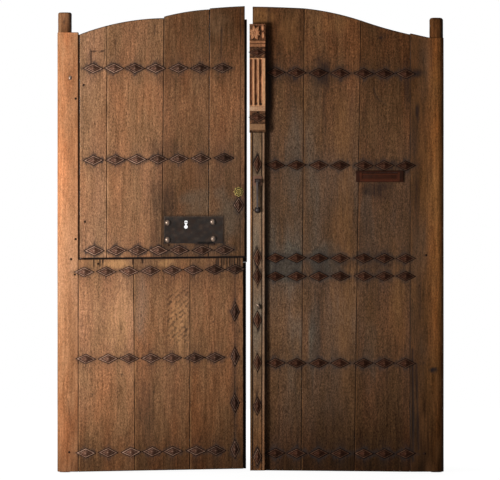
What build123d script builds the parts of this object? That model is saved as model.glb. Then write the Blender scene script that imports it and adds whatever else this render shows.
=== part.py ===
from build123d import *

import os

# Pair of old plank door leaves hung on wooden pivot stiles, 1:1 in millimetres.
# +X runs to the viewer's right, +Y away from the viewer, +Z up from the sill.
# The left leaf carries an upper hatch, the right leaf an astragal with a carved capital.

# The pair as a whole
pair_width = 2012.0
crown_height = 2425.0
arch_rise = 147.5
heel_clearance = 3.0
left_toe_rise = 16.0
right_toe_rise = 8.0

# Boards and framing
plank_thickness = 36.0
joint_ease = 3.0
ledge_thickness = 42.0
ledge_height = 76.0
batten_width = 85.0
left_stile_width = 110.0
right_stile_width = 176.0
hatch_edge_setback = 30.0
hatch_batten_setback = 19.0
lower_edge_setback = 38.0
lower_batten_setback = 23.5
right_edge_setback = 10.7
batten_head_drop = 68.0
ledge_end_setback = 16.0

# Hatch opening
hatch_side_gap = 6.5
cut_gap = 6.0
cut_left_share = 0.458
cut_right_share = 0.462
sill_lap = 14.0
lap_clearance = 1.0
tongue_depth = 20.0
tongue_gap = 1.0

# Pivots
pintle_radius = 36.0
pintle_length = 104.0
pintle_round = 9.0
left_shoulder_rise = 11.5
right_shoulder_rise = 5.0
right_shoulder_fall = 21.0
shoulder_margin = 14.0
heel_pin_radius = 14.0
heel_pin_height = 62.0
heel_pin_chamfer = 3.0
heel_flange_radius = 28.0
heel_flange_thickness = 8.0
running_clearance = 0.05
recess_clearance = 1.0

# Iron studs
stud_length = 100.0
stud_height = 50.0
stud_plate_thickness = 4.0
stud_peak = 9.0
stud_rim_share = 0.86
stud_boss_share = 0.56
stud_tip_share = 0.08
edge_stud_length = 98.0
edge_stud_width = 46.0
hatch_edge_stud_length = 82.0
hatch_edge_stud_width = 54.0
astragal_stud_length = 93.0
astragal_stud_width = 44.0
capital_stud_length = 86.0
capital_stud_height = 48.0

# Astragal and carved capital on the right leaf
astragal_overhang = 13.0
astragal_width = 76.0
astragal_thickness = 32.0
astragal_bead = 12.0
quirk_width = 4.0
quirk_depth = 5.0
astragal_round = 3.0
capital_head_drop = 94.5
capital_overhang = 3.5
capital_depth = 50.0
capital_sunk = 6.0
capital_base_height = 46.0
capital_block_height = 64.0
capital_band_height = 26.0
flute_panel_height = 252.0
stud_band_height = 56.0
bead_height = 18.0
rosette_height = 84.0
flute_width = 13.0
flute_depth = 8.0
flute_count = 3
flute_end_margin = 6.0
rosette_depth = 12.0
petal_length = 44.0
petal_width = 22.0
petal_count = 4
petal_start_angle = 45.0
carve_taper = 22.0
boss_radius = 9.0
leaf_length = 58.0
leaf_width = 15.0

# Lock on the hatch
lock_plate_width = 306.0
lock_plate_height = 141.0
lock_plate_thickness = 3.0
lock_plate_round = 5.0
lock_plate_setback = 266.4
nail_radius = 14.0
nail_height = 9.0
keyhole_end_radius = 9.5
keyhole_waist = 9.0
keyhole_length = 43.0
keyhole_clearance = 2.0
keyhole_x_share = 0.370
keyhole_z_share = 0.70
case_width = 280.0
case_height = 104.0
case_depth = 36.0
case_wall = 3.0
case_ledge_gap = 16.1
ward_height = 3.5
bolt_height = 26.0
bolt_thickness = 12.0
bolt_length = 208.0
bolt_setback = 2.0
bolt_clearance = 0.3
keeper_width = 26.0
keeper_setback = 4.0
keeper_metal = 6.0
keeper_foot = 26.0
keeper_play = 3.0

# Brass cylinder and its latch case on the hatch
rose_radius = 24.0
rose_thickness = 5.0
barrel_radius = 14.0
barrel_clearance = 0.3
plug_radius = 8.0
plug_proud = 2.0
plug_length = 34.0
plug_slot_width = 2.4
plug_slot_height = 9.0
plug_slot_depth = 20.0
cylinder_x_share = 0.963
cylinder_z_share = 0.6019
latch_case_width = 78.0
latch_case_height = 76.0
latch_case_depth = 22.0
latch_case_round = 4.0
latch_case_margin = 4.0

# Strap hinges of the hatch
hinge_pin_radius = 7.0
hinge_eye_radius = 13.0
hinge_eye_height = 44.0
strap_thickness = 5.0
strap_width = 38.0
strap_length = 430.0
strap_tip_share = 0.5
hinge_clearance = 0.5
lug_height = 16.0
lug_radius = 12.0
pintle_plate_width = 84.0
pintle_plate_height = 96.0
pintle_plate_thickness = 6.0
pin_head_rise = 6.0

# Knocker on the astragal
knocker_z_share = 0.6252
staple_plate_width = 46.0
staple_plate_height = 50.0
staple_plate_thickness = 4.0
cheek_thickness = 5.0
cheek_radius = 10.0
knocker_standoff = 13.0
knocker_eye_radius = 9.0
knocker_eye_width = 18.0
knocker_pin_radius = 4.0
cheek_gap = 0.5
hammer_length = 152.0
hammer_top_radius = 7.0
hammer_foot_radius = 5.0
knob_radius = 12.0
striker_radius = 17.0
rest_clearance = 0.3

# Letter plate on the right leaf
letter_plate_width_share = 0.3015
letter_plate_height = 60.0
letter_plate_thickness = 8.0
letter_plate_round = 4.0
letter_plate_border = 11.0
letter_plate_end = 27.0
letter_plate_x_share = 0.8063
letter_plate_z_share = 0.6349
flap_thickness = 3.0
flap_gap = 0.6
flap_barrel_radius = 3.2
trunnion_radius = 2.0
trunnion_length = 6.0

overrun = 10.0

# Places along the leaves, as shares of a leaf's board field (first the top, then the foot of each joint)
hatch_joint_shares = ((0.166, 0.164), (0.511, 0.498), (0.787, 0.780))
lower_joint_shares = ((0.3345, 0.343), (0.6776, 0.675))
right_joint_shares = ((0.328, 0.308), (0.688, 0.645))

# Board tops as shares of the arch rise, at the left corner, the middle and the right corner
hatch_top_shares = ((0.0, 0.17, 0.31), (0.31, 0.505, 0.578), (0.63, 0.80, 0.887), (0.919, 0.968, 1.0))
right_top_shares = ((0.982, 0.962, 0.922), (0.922, 0.765, 0.496), (0.496, 0.220, 0.0))

# Stud rows: heights at both ends as shares of the crown height, places as shares of the board field
hatch_row_height_shares = ((0.8663, 0.8670), (0.6693, 0.6742), (0.4754, 0.4769))
hatch_row_place_shares = (
    (0.082, 0.209, 0.335, 0.461, 0.599, 0.729, 0.864),
    (0.085, 0.217, 0.346, 0.475, 0.599, 0.734, 0.875),
    (0.089, 0.223, 0.354, 0.477, 0.602, 0.743, 0.875),
)
lower_row_height_shares = ((0.4297, 0.4357), (0.2432, 0.2464), (0.0416, 0.0470))
lower_row_place_shares = (
    (0.036, 0.170, 0.307, 0.437, 0.570, 0.695, 0.829, 0.952),
    (0.046, 0.181, 0.308, 0.441, 0.568, 0.705, 0.828),
    (0.046, 0.181, 0.320, 0.449, 0.573, 0.714, 0.835),
)
right_row_height_shares = (
    (0.8573, 0.8547),
    (0.6590, 0.6577),
    (0.4597, 0.4587),
    (0.4203, 0.4207),
    (0.2346, 0.2339),
    (0.0412, 0.0401),
)
right_row_place_shares = (0.1447, 0.2792, 0.4200, 0.5558, 0.7049, 0.8369, 0.9720)
edge_stud_place_share = 0.950
edge_stud_height_shares = (0.3442, 0.2485, 0.1488, 0.0497)
hatch_edge_stud_height_share = 0.5733
astragal_stud_height_shares = (0.6609, 0.4606, 0.4203, 0.3268, 0.2357, 0.1426, 0.0343)
nail_place_shares = ((0.063, 0.767), (0.830, 0.80), (0.063, 0.14), (0.842, 0.173))

# Worked out from the sizes above
stile_depth = plank_thickness + ledge_thickness
stile_round = stile_depth / 2
spring_height = crown_height - arch_rise
hinge_axis_depth = stile_depth + hinge_clearance + hinge_eye_radius
knocker_axis_depth = astragal_thickness + staple_plate_thickness + knocker_standoff
back_reach = hinge_axis_depth + hinge_eye_radius
front_reach = knocker_axis_depth + knob_radius
centre_depth = (back_reach - front_reach) / 2

pivot_x = pair_width / 2 - stile_round
left_stile_face = left_stile_width - pair_width / 2
right_stile_face = pair_width / 2 - right_stile_width
hatch_left = left_stile_face + hatch_side_gap
hatch_right = -hatch_edge_setback
lower_right = -lower_edge_setback
right_left = right_edge_setback
hinge_axis_x = left_stile_face + hatch_side_gap / 2
cut_left_height = cut_left_share * crown_height
cut_right_height = cut_right_share * crown_height
lap_height = cut_left_height - cut_gap / 2 - sill_lap
lower_framing_top = lap_height - lap_clearance
left_foot_height = heel_clearance + left_toe_rise
right_foot_height = heel_clearance + right_toe_rise


def at_depth(depth):
    """Upright plane that far behind the plank fronts, facing the viewer."""
    return Plane.XZ.offset(centre_depth - depth)


def between(start, end, share):
    """Point that lies at a share of the way from start to end."""
    return start + (end - start) * share


def write(part, name):
    """Label a finished piece and write it out under that name."""
    part.label = name
    export_step(part, "parts/" + name + ".step")


def cut_height(x):
    """Height of the slanted cut between the hatch and the lower boards."""
    share = (x - left_stile_face) / (hatch_right - left_stile_face)
    return between(cut_left_height, cut_right_height, share)


def foot_height(x, heel_x, toe_x, toe_rise):
    """Height of a leaf's foot, which rises from its heel to its toe."""
    return heel_clearance + toe_rise * (x - heel_x) / (toe_x - heel_x)


def field_lines(left, right, joint_shares):
    """Left edge, joints and right edge of a board field, each as its top and foot place."""
    joints = [(between(left, right, top), between(left, right, foot)) for top, foot in joint_shares]
    return [(left, left)] + joints + [(right, right)]


# Boards


def plank(top_left, top_middle, top_right, foot_left, foot_right):
    """Board with a cut or curved top and eased front edges along both joints."""
    with BuildPart() as board:
        with BuildSketch(at_depth(plank_thickness)):
            with BuildLine():
                Polyline(top_left, foot_left, foot_right, top_right)
                if top_middle is None:
                    Line(top_right, top_left)
                else:
                    ThreePointArc(top_right, top_middle, top_left)
            make_face()
        extrude(amount=plank_thickness)
        sides = board.faces().sort_by(Axis.Y)[0].edges().sort_by(Axis.X)
        chamfer([sides[0], sides[-1]], length=joint_ease)
    return board.part


def on_joint(line, foot, height):
    """Place on a joint line, which runs from its foot to its top place at the crown height."""
    return between(line[1], line[0], (height - foot) / (crown_height - foot))


def arched_plank(line_left, line_right, top_shares, foot_of):
    """Board under the arch, between two joint lines."""
    tops = [spring_height + arch_rise * share for share in top_shares]
    top_left = on_joint(line_left, foot_of(line_left[1]), tops[0])
    top_right = on_joint(line_right, foot_of(line_right[1]), tops[2])
    return plank(
        (top_left, tops[0]),
        ((top_left + top_right) / 2, tops[1]),
        (top_right, tops[2]),
        (line_left[1], foot_of(line_left[1])),
        (line_right[1], foot_of(line_right[1])),
    )


def rail(left, right, bottom, top):
    """Square-edged board fixed across or along the back of the planks."""
    with BuildPart() as board:
        with BuildSketch(at_depth(stile_depth)):
            with BuildLine():
                Polyline((left, bottom), (right, bottom), (right, top), (left, top), close=True)
            make_face()
        extrude(amount=ledge_thickness)
    return board.part


def stile(side, face, shoulder, shoulder_fall):
    """Pivot stile with a half-round outer edge, a round pintle above and a bore in its heel."""
    axis_x = side * pivot_x
    seat = shoulder - shoulder_fall
    margin_x = axis_x - side * (pintle_radius + shoulder_margin)
    with BuildPart() as post:
        with BuildSketch(Plane.XY.offset(heel_clearance)):
            with BuildLine():
                Polyline(
                    (face, -centre_depth),
                    (axis_x, -centre_depth),
                    (axis_x, stile_depth - centre_depth),
                    (face, stile_depth - centre_depth),
                    close=True,
                )
            make_face()
            with Locations((axis_x, stile_round - centre_depth)):
                Circle(stile_round)
        extrude(amount=shoulder - heel_clearance)
        if shoulder_fall > 0:
            with BuildSketch(at_depth(stile_depth + overrun)):
                with BuildLine():
                    Polyline(
                        (face, shoulder),
                        (margin_x, seat),
                        (axis_x + side * (stile_round + overrun), seat),
                        (axis_x + side * (stile_round + overrun), shoulder + overrun),
                        (face, shoulder + overrun),
                        close=True,
                    )
                make_face()
            extrude(amount=stile_depth + 2 * overrun, mode=Mode.SUBTRACT)
        with BuildSketch(Plane.XY.offset(seat)):
            with Locations((axis_x, stile_round - centre_depth)):
                Circle(pintle_radius)
        extrude(amount=pintle_length)
        fillet(post.edges().sort_by(Axis.Z)[-1], radius=pintle_round)
        with BuildSketch(Plane.XY):
            with Locations((axis_x, stile_round - centre_depth)):
                Circle(heel_pin_radius + running_clearance)
        extrude(amount=heel_pin_height + recess_clearance, mode=Mode.SUBTRACT)
        with BuildSketch(Plane.XY):
            with Locations((axis_x, stile_round - centre_depth)):
                Circle(heel_flange_radius + recess_clearance)
        extrude(amount=heel_flange_thickness + recess_clearance, mode=Mode.SUBTRACT)
    return post.part


def heel_pin(side):
    """Iron pivot let into the sill, with a flange to stand on."""
    with BuildPart() as pin:
        with BuildSketch(Plane.XY):
            with Locations((side * pivot_x, stile_round - centre_depth)):
                Circle(heel_flange_radius)
        extrude(amount=heel_flange_thickness)
        with BuildSketch(Plane.XY):
            with Locations((side * pivot_x, stile_round - centre_depth)):
                Circle(heel_pin_radius)
        extrude(amount=heel_pin_height)
        chamfer(pin.edges().sort_by(Axis.Z)[-1], length=heel_pin_chamfer)
    return pin.part


# Iron studs: a bevelled lozenge plate with a raised four-sided head


def lozenge_stud(length, height):
    """Stud that lies on the plane Y = 0 and stands proud towards the viewer."""
    rise = stud_plate_thickness + stud_peak
    with BuildPart() as stud:
        for level, share in ((0, 1), (stud_plate_thickness, stud_rim_share)):
            with BuildSketch(Plane.XZ.offset(level)):
                half_length = length * share / 2
                half_height = height * share / 2
                Polygon((-half_length, 0), (0, -half_height), (half_length, 0), (0, half_height))
        loft()
        for level, share in ((stud_plate_thickness, stud_boss_share), (rise, stud_tip_share)):
            with BuildSketch(Plane.XZ.offset(level)):
                half_length = length * share / 2
                half_height = height * share / 2
                Polygon((-half_length, 0), (0, -half_height), (half_length, 0), (0, half_height))
        loft()
    return stud.part


def set_studs(stud, places, depth):
    """Copies of one stud on a face that lies that far behind the plank fronts."""
    with BuildPart() as group:
        with Locations(*[(x, depth - centre_depth, z) for x, z in places]):
            add(stud)
    return group.part


def row_places(left, right, height_shares, place_shares):
    """Centres of one stud row, which slants from its first height to its last."""
    start, end = (share * crown_height for share in height_shares)
    first = place_shares[0]
    span = place_shares[-1] - first
    return [
        (between(left, right, share), between(start, end, (share - first) / span)) for share in place_shares
    ]


def row_middle(height_shares):
    """Height of the middle of a stud row, where the ledge behind it lies."""
    return sum(height_shares) / len(height_shares) * crown_height


# Keyhole outline shared by the lock plate, the board behind it and the lock case


def keyhole(grow):
    """Two round ends joined by a narrow waist, drawn about the middle of the keyhole."""
    end_z = keyhole_length / 2 - keyhole_end_radius
    with Locations((keyhole_x, keyhole_z - end_z), (keyhole_x, keyhole_z + end_z)):
        Circle(keyhole_end_radius + grow)
    with Locations((keyhole_x, keyhole_z)):
        Rectangle(keyhole_waist + 2 * grow, 2 * end_z)


lock_plate_x = hatch_right - lock_plate_setback
lower_ledge_top = row_middle(hatch_row_height_shares[-1]) + ledge_height / 2
lock_plate_z = lower_ledge_top + case_ledge_gap + case_height / 2
keyhole_x = lock_plate_x + (keyhole_x_share - 1 / 2) * lock_plate_width
keyhole_z = lock_plate_z + (keyhole_z_share - 1 / 2) * lock_plate_height
hatch_batten_right = -hatch_batten_setback
hatch_batten_left = hatch_batten_right - batten_width
lower_batten_right = -lower_batten_setback
lower_batten_left = lower_batten_right - batten_width
bolt_depth = plank_thickness + case_depth / 2
bolt_nose = hatch_batten_right - bolt_setback
cylinder_x = between(hatch_left, hatch_right, cylinder_x_share)
cylinder_z = cylinder_z_share * crown_height
letter_plate_x = between(right_left, right_stile_face, letter_plate_x_share)
letter_plate_width = letter_plate_width_share * (right_stile_face - right_left)
letter_plate_z = letter_plate_z_share * crown_height
window_width = letter_plate_width - 2 * letter_plate_end
window_height = letter_plate_height - 2 * letter_plate_border
flap_axis_z = letter_plate_z + window_height / 2 - flap_barrel_radius - flap_gap
astragal_left = right_left - astragal_overhang
astragal_right = astragal_left + astragal_width
astragal_x = (astragal_left + astragal_right) / 2
capital_left = astragal_left - capital_overhang
capital_right = astragal_right + capital_overhang
capital_zones = (
    capital_base_height,
    capital_block_height,
    capital_band_height,
    flute_panel_height,
    stud_band_height,
    bead_height,
    bead_height,
    rosette_height,
)
capital_head = crown_height - capital_head_drop
capital_foot = capital_head - sum(capital_zones)
knocker_z = knocker_z_share * crown_height

os.makedirs("parts", exist_ok=True)

# Heel pins and pivot stiles
write(heel_pin(-1), "left_heel_pin")
write(heel_pin(1), "right_heel_pin")
with BuildPart() as left_stile:
    add(stile(-1, left_stile_face, spring_height + left_shoulder_rise, 0))
    with BuildSketch(at_depth(plank_thickness)):
        tongue_edge = hatch_left - tongue_gap
        tongue_foot = cut_height(tongue_edge) - cut_gap / 2
        with BuildLine():
            Polyline(
                (left_stile_face, tongue_foot),
                (tongue_edge, tongue_foot),
                (tongue_edge, spring_height),
                (left_stile_face, spring_height),
                close=True,
            )
        make_face()
    extrude(amount=tongue_depth)
write(left_stile.part, "left_pivot_stile")
right_shoulder = spring_height + right_shoulder_rise
write(stile(1, right_stile_face, right_shoulder, right_shoulder_fall), "right_pivot_stile")


# Boards of the hatch, with the keyhole and the cylinder bore let through


def hatch_foot(x):
    """Height of the hatch's foot above the cut."""
    return cut_height(x) + cut_gap / 2


hatch_lines = field_lines(hatch_left, hatch_right, hatch_joint_shares)
hatch_planks = [
    arched_plank(hatch_lines[i], hatch_lines[i + 1], shares, hatch_foot)
    for i, shares in enumerate(hatch_top_shares)
]
with BuildPart() as keyhole_plank:
    add(hatch_planks[2])
    with BuildSketch(at_depth(plank_thickness)):
        keyhole(keyhole_clearance)
    extrude(amount=plank_thickness, mode=Mode.SUBTRACT)
with BuildPart() as cylinder_plank:
    add(hatch_planks[3])
    with BuildSketch(at_depth(plank_thickness)):
        with Locations((cylinder_x, cylinder_z)):
            Circle(barrel_radius + barrel_clearance)
    extrude(amount=plank_thickness, mode=Mode.SUBTRACT)
hatch_planks[2] = keyhole_plank.part
hatch_planks[3] = cylinder_plank.part
for number, board in enumerate(hatch_planks, start=1):
    write(board, f"hatch_plank_{number}")

# Boards of the lower left leaf, cut level with the hatch
lower_lines = field_lines(left_stile_face, lower_right, lower_joint_shares)
for number, (line_left, line_right) in enumerate(zip(lower_lines, lower_lines[1:]), start=1):
    board = plank(
        (line_left[0], cut_height(line_left[0]) - cut_gap / 2),
        None,
        (line_right[0], cut_height(line_right[0]) - cut_gap / 2),
        (line_left[1], foot_height(line_left[1], left_stile_face, lower_right, left_toe_rise)),
        (line_right[1], foot_height(line_right[1], left_stile_face, lower_right, left_toe_rise)),
    )
    write(board, f"lower_plank_{number}")


# Boards of the right leaf, with the letter slot let through the third


def right_foot(x):
    """Height of the right leaf's foot above the sill."""
    return foot_height(x, right_stile_face, right_left, right_toe_rise)


right_lines = field_lines(right_left, right_stile_face, right_joint_shares)
right_planks = [
    arched_plank(right_lines[i], right_lines[i + 1], shares, right_foot)
    for i, shares in enumerate(right_top_shares)
]
with BuildPart() as slotted_plank:
    add(right_planks[2])
    with BuildSketch(at_depth(plank_thickness)):
        with Locations((letter_plate_x, letter_plate_z)):
            Rectangle(window_width, window_height)
    extrude(amount=plank_thickness, mode=Mode.SUBTRACT)
right_planks[2] = slotted_plank.part
for number, board in enumerate(right_planks, start=1):
    write(board, f"right_plank_{number}")

# Ledges across the back, one behind each stud row
ledge_names = ("top", "middle", "bottom")
hatch_ledge_left = hatch_left + hatch_side_gap
for place, shares in zip(ledge_names, hatch_row_height_shares):
    ledge_top = row_middle(shares) + ledge_height / 2
    ledge_bottom = lap_height if place == "bottom" else ledge_top - ledge_height
    write(rail(hatch_ledge_left, hatch_batten_left, ledge_bottom, ledge_top), f"hatch_ledge_{place}")
for place, shares in zip(ledge_names, lower_row_height_shares):
    ledge_bottom = row_middle(shares) - ledge_height / 2
    ledge_top = lower_framing_top if place == "top" else ledge_bottom + ledge_height
    write(rail(left_stile_face, lower_batten_left, ledge_bottom, ledge_top), f"lower_ledge_{place}")
for number, shares in enumerate(right_row_height_shares, start=1):
    ledge_bottom = row_middle(shares) - ledge_height / 2
    ledge_left = right_left + ledge_end_setback
    ledge = rail(ledge_left, right_stile_face, ledge_bottom, ledge_bottom + ledge_height)
    write(ledge, f"right_ledge_{number}")

# Upright battens behind the meeting edge of the left leaf
lower_batten = rail(lower_batten_left, lower_batten_right, left_foot_height, lower_framing_top)
write(lower_batten, "lower_meeting_batten")
with BuildPart() as hatch_batten:
    add(rail(hatch_batten_left, hatch_batten_right, lap_height, crown_height - batten_head_drop))
    with BuildSketch(Plane.YZ.offset(hatch_batten_left)):
        with Locations((bolt_depth - centre_depth, lock_plate_z)):
            Rectangle(bolt_thickness + 2 * bolt_clearance, bolt_height + 2 * bolt_clearance)
    extrude(amount=batten_width, mode=Mode.SUBTRACT)
    with BuildSketch(at_depth(stile_depth)):
        with Locations((cylinder_x, cylinder_z)):
            Circle(barrel_radius + barrel_clearance)
    extrude(amount=ledge_thickness, mode=Mode.SUBTRACT)
write(hatch_batten.part, "hatch_meeting_batten")

# Studs of the boards, row by row, and the upright studs along the meeting edge
row_stud = lozenge_stud(stud_length, stud_height)
hatch_places = []
for heights, places in zip(hatch_row_height_shares, hatch_row_place_shares):
    hatch_places += row_places(hatch_left, hatch_right, heights, places)
write(set_studs(row_stud, hatch_places, 0), "hatch_stud_rows")
lower_places = []
for heights, places in zip(lower_row_height_shares, lower_row_place_shares):
    lower_places += row_places(left_stile_face, lower_right, heights, places)
write(set_studs(row_stud, lower_places, 0), "lower_stud_rows")
right_places = []
for heights in right_row_height_shares:
    right_places += row_places(right_left, right_stile_face, heights, right_row_place_shares)
write(set_studs(row_stud, right_places, 0), "right_stud_rows")
edge_x = between(left_stile_face, lower_right, edge_stud_place_share)
edge_places = [(edge_x, share * crown_height) for share in edge_stud_height_shares]
edge_stud = lozenge_stud(edge_stud_width, edge_stud_length)
write(set_studs(edge_stud, edge_places, 0), "lower_edge_studs")
hatch_edge_stud = lozenge_stud(hatch_edge_stud_width, hatch_edge_stud_length)
hatch_edge_place = (cylinder_x, hatch_edge_stud_height_share * crown_height)
write(set_studs(hatch_edge_stud, [hatch_edge_place], 0), "hatch_edge_stud")
astragal_stud = lozenge_stud(astragal_stud_width, astragal_stud_length)
astragal_places = [(astragal_x, share * crown_height) for share in astragal_stud_height_shares]
write(set_studs(astragal_stud, astragal_places, -astragal_thickness), "astragal_studs")
capital_stud = lozenge_stud(capital_stud_length, capital_stud_height)
block_z = capital_foot + capital_base_height + capital_block_height / 2
band_z = capital_foot + sum(capital_zones[:4]) + stud_band_height / 2
capital_places = [(astragal_x, block_z), (astragal_x, band_z)]
write(set_studs(capital_stud, capital_places, capital_sunk - capital_depth), "capital_studs")

# Astragal: a cover strip with a bead along each edge
with BuildPart() as astragal:
    with BuildSketch(Plane.XY.offset(right_foot_height)):
        with BuildLine():
            Polyline(
                (astragal_left, -centre_depth),
                (astragal_right, -centre_depth),
                (astragal_right, -astragal_thickness - centre_depth),
                (astragal_left, -astragal_thickness - centre_depth),
                close=True,
            )
        make_face()
        for edge, turn in ((astragal_left, 1), (astragal_right, -1)):
            quirk_x = edge + turn * astragal_bead
            with BuildLine():
                Polyline(
                    (quirk_x, -astragal_thickness - centre_depth),
                    (quirk_x + turn * quirk_width, -astragal_thickness - centre_depth),
                    (quirk_x + turn * quirk_width / 2, quirk_depth - astragal_thickness - centre_depth),
                    close=True,
                )
            make_face(mode=Mode.SUBTRACT)
    extrude(amount=capital_foot - right_foot_height)
    front_edges = astragal.edges().filter_by(Axis.Z).group_by(Axis.Y)[0].sort_by(Axis.X)
    fillet([front_edges[0], front_edges[-1]], radius=astragal_round)
write(astragal.part, "astragal")

# Carved capital: moulded block with flutes, two beads and a four-petalled rosette
levels = [capital_foot + sum(capital_zones[:i]) for i in range(len(capital_zones) + 1)]
face_y = -capital_depth - centre_depth
sunk_y = face_y + capital_sunk
rosette_y = face_y + rosette_depth
bead_y = face_y + bead_height / 2
with BuildPart() as capital:
    with BuildSketch(Plane.YZ.offset(capital_left)):
        with BuildLine():
            Polyline((rosette_y, levels[8]), (-centre_depth, levels[8]), (-centre_depth, levels[0]))
            Line((-centre_depth, levels[0]), (-astragal_thickness - centre_depth, levels[0]))
            SagittaArc(
                (-astragal_thickness - centre_depth, levels[0]),
                (face_y, between(levels[0], levels[1], 1 / 2)),
                capital_sunk / 2,
            )
            Polyline(
                (face_y, between(levels[0], levels[1], 1 / 2)),
                (face_y, levels[1]),
                (sunk_y, levels[1]),
                (sunk_y, levels[2]),
                (face_y, levels[2]),
                (face_y, levels[4]),
                (sunk_y, levels[4]),
                (sunk_y, levels[5]),
                (bead_y, levels[5]),
            )
            for low, high in ((levels[5], levels[6]), (levels[6], levels[7])):
                ThreePointArc((bead_y, low), (face_y, (low + high) / 2), (bead_y, high))
            Polyline((bead_y, levels[7]), (rosette_y, levels[7]), (rosette_y, levels[8]))
        make_face()
    extrude(amount=capital_right - capital_left)
    flute_pitch = (capital_right - capital_left) / (flute_count + 1 / 2)
    flute_length = flute_panel_height - 2 * flute_end_margin
    with BuildSketch(Plane.XZ.offset(-face_y)):
        with Locations((astragal_x, (levels[3] + levels[4]) / 2)):
            with GridLocations(flute_pitch, 0, flute_count, 1):
                SlotOverall(flute_length, flute_width, rotation=90)
    extrude(amount=-flute_depth, taper=carve_taper, mode=Mode.SUBTRACT)
    rosette_z = (levels[7] + levels[8]) / 2
    rosette_x = astragal_x - leaf_width / 2
    for turn in range(petal_count):
        angle = petal_start_angle + turn * 360 / petal_count
        petal_plane = Plane(
            origin=(rosette_x, rosette_y, rosette_z),
            x_dir=Vector(1, 0, 0).rotate(Axis.Y, angle),
            z_dir=(0, -1, 0),
        )
        with BuildSketch(petal_plane):
            with BuildLine():
                SagittaArc((0, 0), (petal_length, 0), petal_width / 2)
                SagittaArc((petal_length, 0), (0, 0), petal_width / 2)
            make_face()
        extrude(amount=rosette_depth, taper=carve_taper)
    with BuildSketch(Plane.XZ.offset(-rosette_y)):
        with Locations((rosette_x, rosette_z)):
            Circle(boss_radius)
    extrude(amount=rosette_depth)
    leaf_foot = (capital_right - leaf_width, rosette_z - leaf_length / 2)
    leaf_head = (capital_right - leaf_width, rosette_z + leaf_length / 2)
    with BuildSketch(Plane.XZ.offset(-rosette_y)):
        with BuildLine():
            SagittaArc(leaf_foot, leaf_head, leaf_width / 2)
            SagittaArc(leaf_head, leaf_foot, leaf_width / 2)
        make_face()
    extrude(amount=rosette_depth, taper=carve_taper)
write(capital.part, "carved_capital")

# Lock plate, its nails, the lock case and bolt behind the boards, and the keeper on the other leaf
with BuildPart() as lock_plate:
    with BuildSketch(at_depth(0)):
        with Locations((lock_plate_x, lock_plate_z)):
            RectangleRounded(lock_plate_width, lock_plate_height, lock_plate_round)
    extrude(amount=lock_plate_thickness)
    with BuildSketch(at_depth(0)):
        keyhole(0)
    extrude(amount=lock_plate_thickness, mode=Mode.SUBTRACT)
write(lock_plate.part, "lock_plate")

dome_radius = (nail_radius**2 + nail_height**2) / (2 * nail_height)
with BuildPart() as nail:
    with BuildSketch(Plane.XY):
        with BuildLine():
            Polyline((0, -nail_height), (0, 0), (nail_radius, 0))
            RadiusArc((nail_radius, 0), (0, -nail_height), dome_radius)
        make_face()
    revolve(axis=Axis.Y)
nail_places = [
    (lock_plate_x + (x - 1 / 2) * lock_plate_width, lock_plate_z + (z - 1 / 2) * lock_plate_height)
    for x, z in nail_place_shares
]
write(set_studs(nail.part, nail_places, -lock_plate_thickness), "lock_plate_nails")

case_right = hatch_batten_left
case_x = case_right - case_width / 2
with BuildPart() as lock_case:
    with BuildSketch(at_depth(plank_thickness + case_depth)):
        with Locations((case_x, lock_plate_z)):
            Rectangle(case_width, case_height)
    extrude(amount=case_depth)
    with BuildSketch(at_depth(plank_thickness + case_depth - case_wall)):
        with Locations((case_x, lock_plate_z)):
            Rectangle(case_width - 2 * case_wall, case_height - 2 * case_wall)
    extrude(amount=case_depth - case_wall, mode=Mode.SUBTRACT)
    with BuildSketch(at_depth(plank_thickness + case_depth)):
        keyhole(keyhole_clearance)
    extrude(amount=case_wall, mode=Mode.SUBTRACT)
    with BuildSketch(at_depth(plank_thickness + case_depth)):
        with Locations((keyhole_x, keyhole_z + keyhole_length / 2 - keyhole_end_radius)):
            Rectangle(2 * (keyhole_end_radius + keyhole_clearance + case_wall), ward_height)
    extrude(amount=case_wall)
    with BuildSketch(Plane.YZ.offset(case_right - case_wall)):
        with Locations((bolt_depth - centre_depth, lock_plate_z)):
            Rectangle(bolt_thickness + 2 * bolt_clearance, bolt_height + 2 * bolt_clearance)
    extrude(amount=case_wall, mode=Mode.SUBTRACT)
write(lock_case.part, "lock_case")

with BuildPart() as lock_bolt:
    with BuildSketch(Plane.YZ.offset(bolt_nose - bolt_length)):
        with Locations((bolt_depth - centre_depth, lock_plate_z)):
            Rectangle(bolt_thickness, bolt_height)
    extrude(amount=bolt_length)
    chamfer(lock_bolt.faces().sort_by(Axis.X)[-1].edges(), length=bolt_setback)
write(lock_bolt.part, "lock_bolt")

keeper_left = right_left + keeper_setback
window_half = bolt_height / 2 + keeper_play
keeper_half = window_half + keeper_metal
keeper_floor = plank_thickness - centre_depth
window_back = keeper_floor + case_depth / 2 + bolt_thickness / 2 + keeper_play
with BuildPart() as keeper:
    with BuildSketch(Plane.YZ.offset(keeper_left)):
        with BuildLine():
            Polyline(
                (keeper_floor, lock_plate_z - keeper_half - keeper_foot),
                (keeper_floor + keeper_metal, lock_plate_z - keeper_half - keeper_foot),
                (keeper_floor + keeper_metal, lock_plate_z - keeper_half),
                (window_back + keeper_metal, lock_plate_z - keeper_half),
                (window_back + keeper_metal, lock_plate_z + keeper_half),
                (keeper_floor + keeper_metal, lock_plate_z + keeper_half),
                (keeper_floor + keeper_metal, lock_plate_z + keeper_half + keeper_foot),
                (keeper_floor, lock_plate_z + keeper_half + keeper_foot),
                (keeper_floor, lock_plate_z + window_half),
                (window_back, lock_plate_z + window_half),
                (window_back, lock_plate_z - window_half),
                (keeper_floor, lock_plate_z - window_half),
                close=True,
            )
        make_face()
    extrude(amount=keeper_width)
write(keeper.part, "bolt_keeper")

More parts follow.
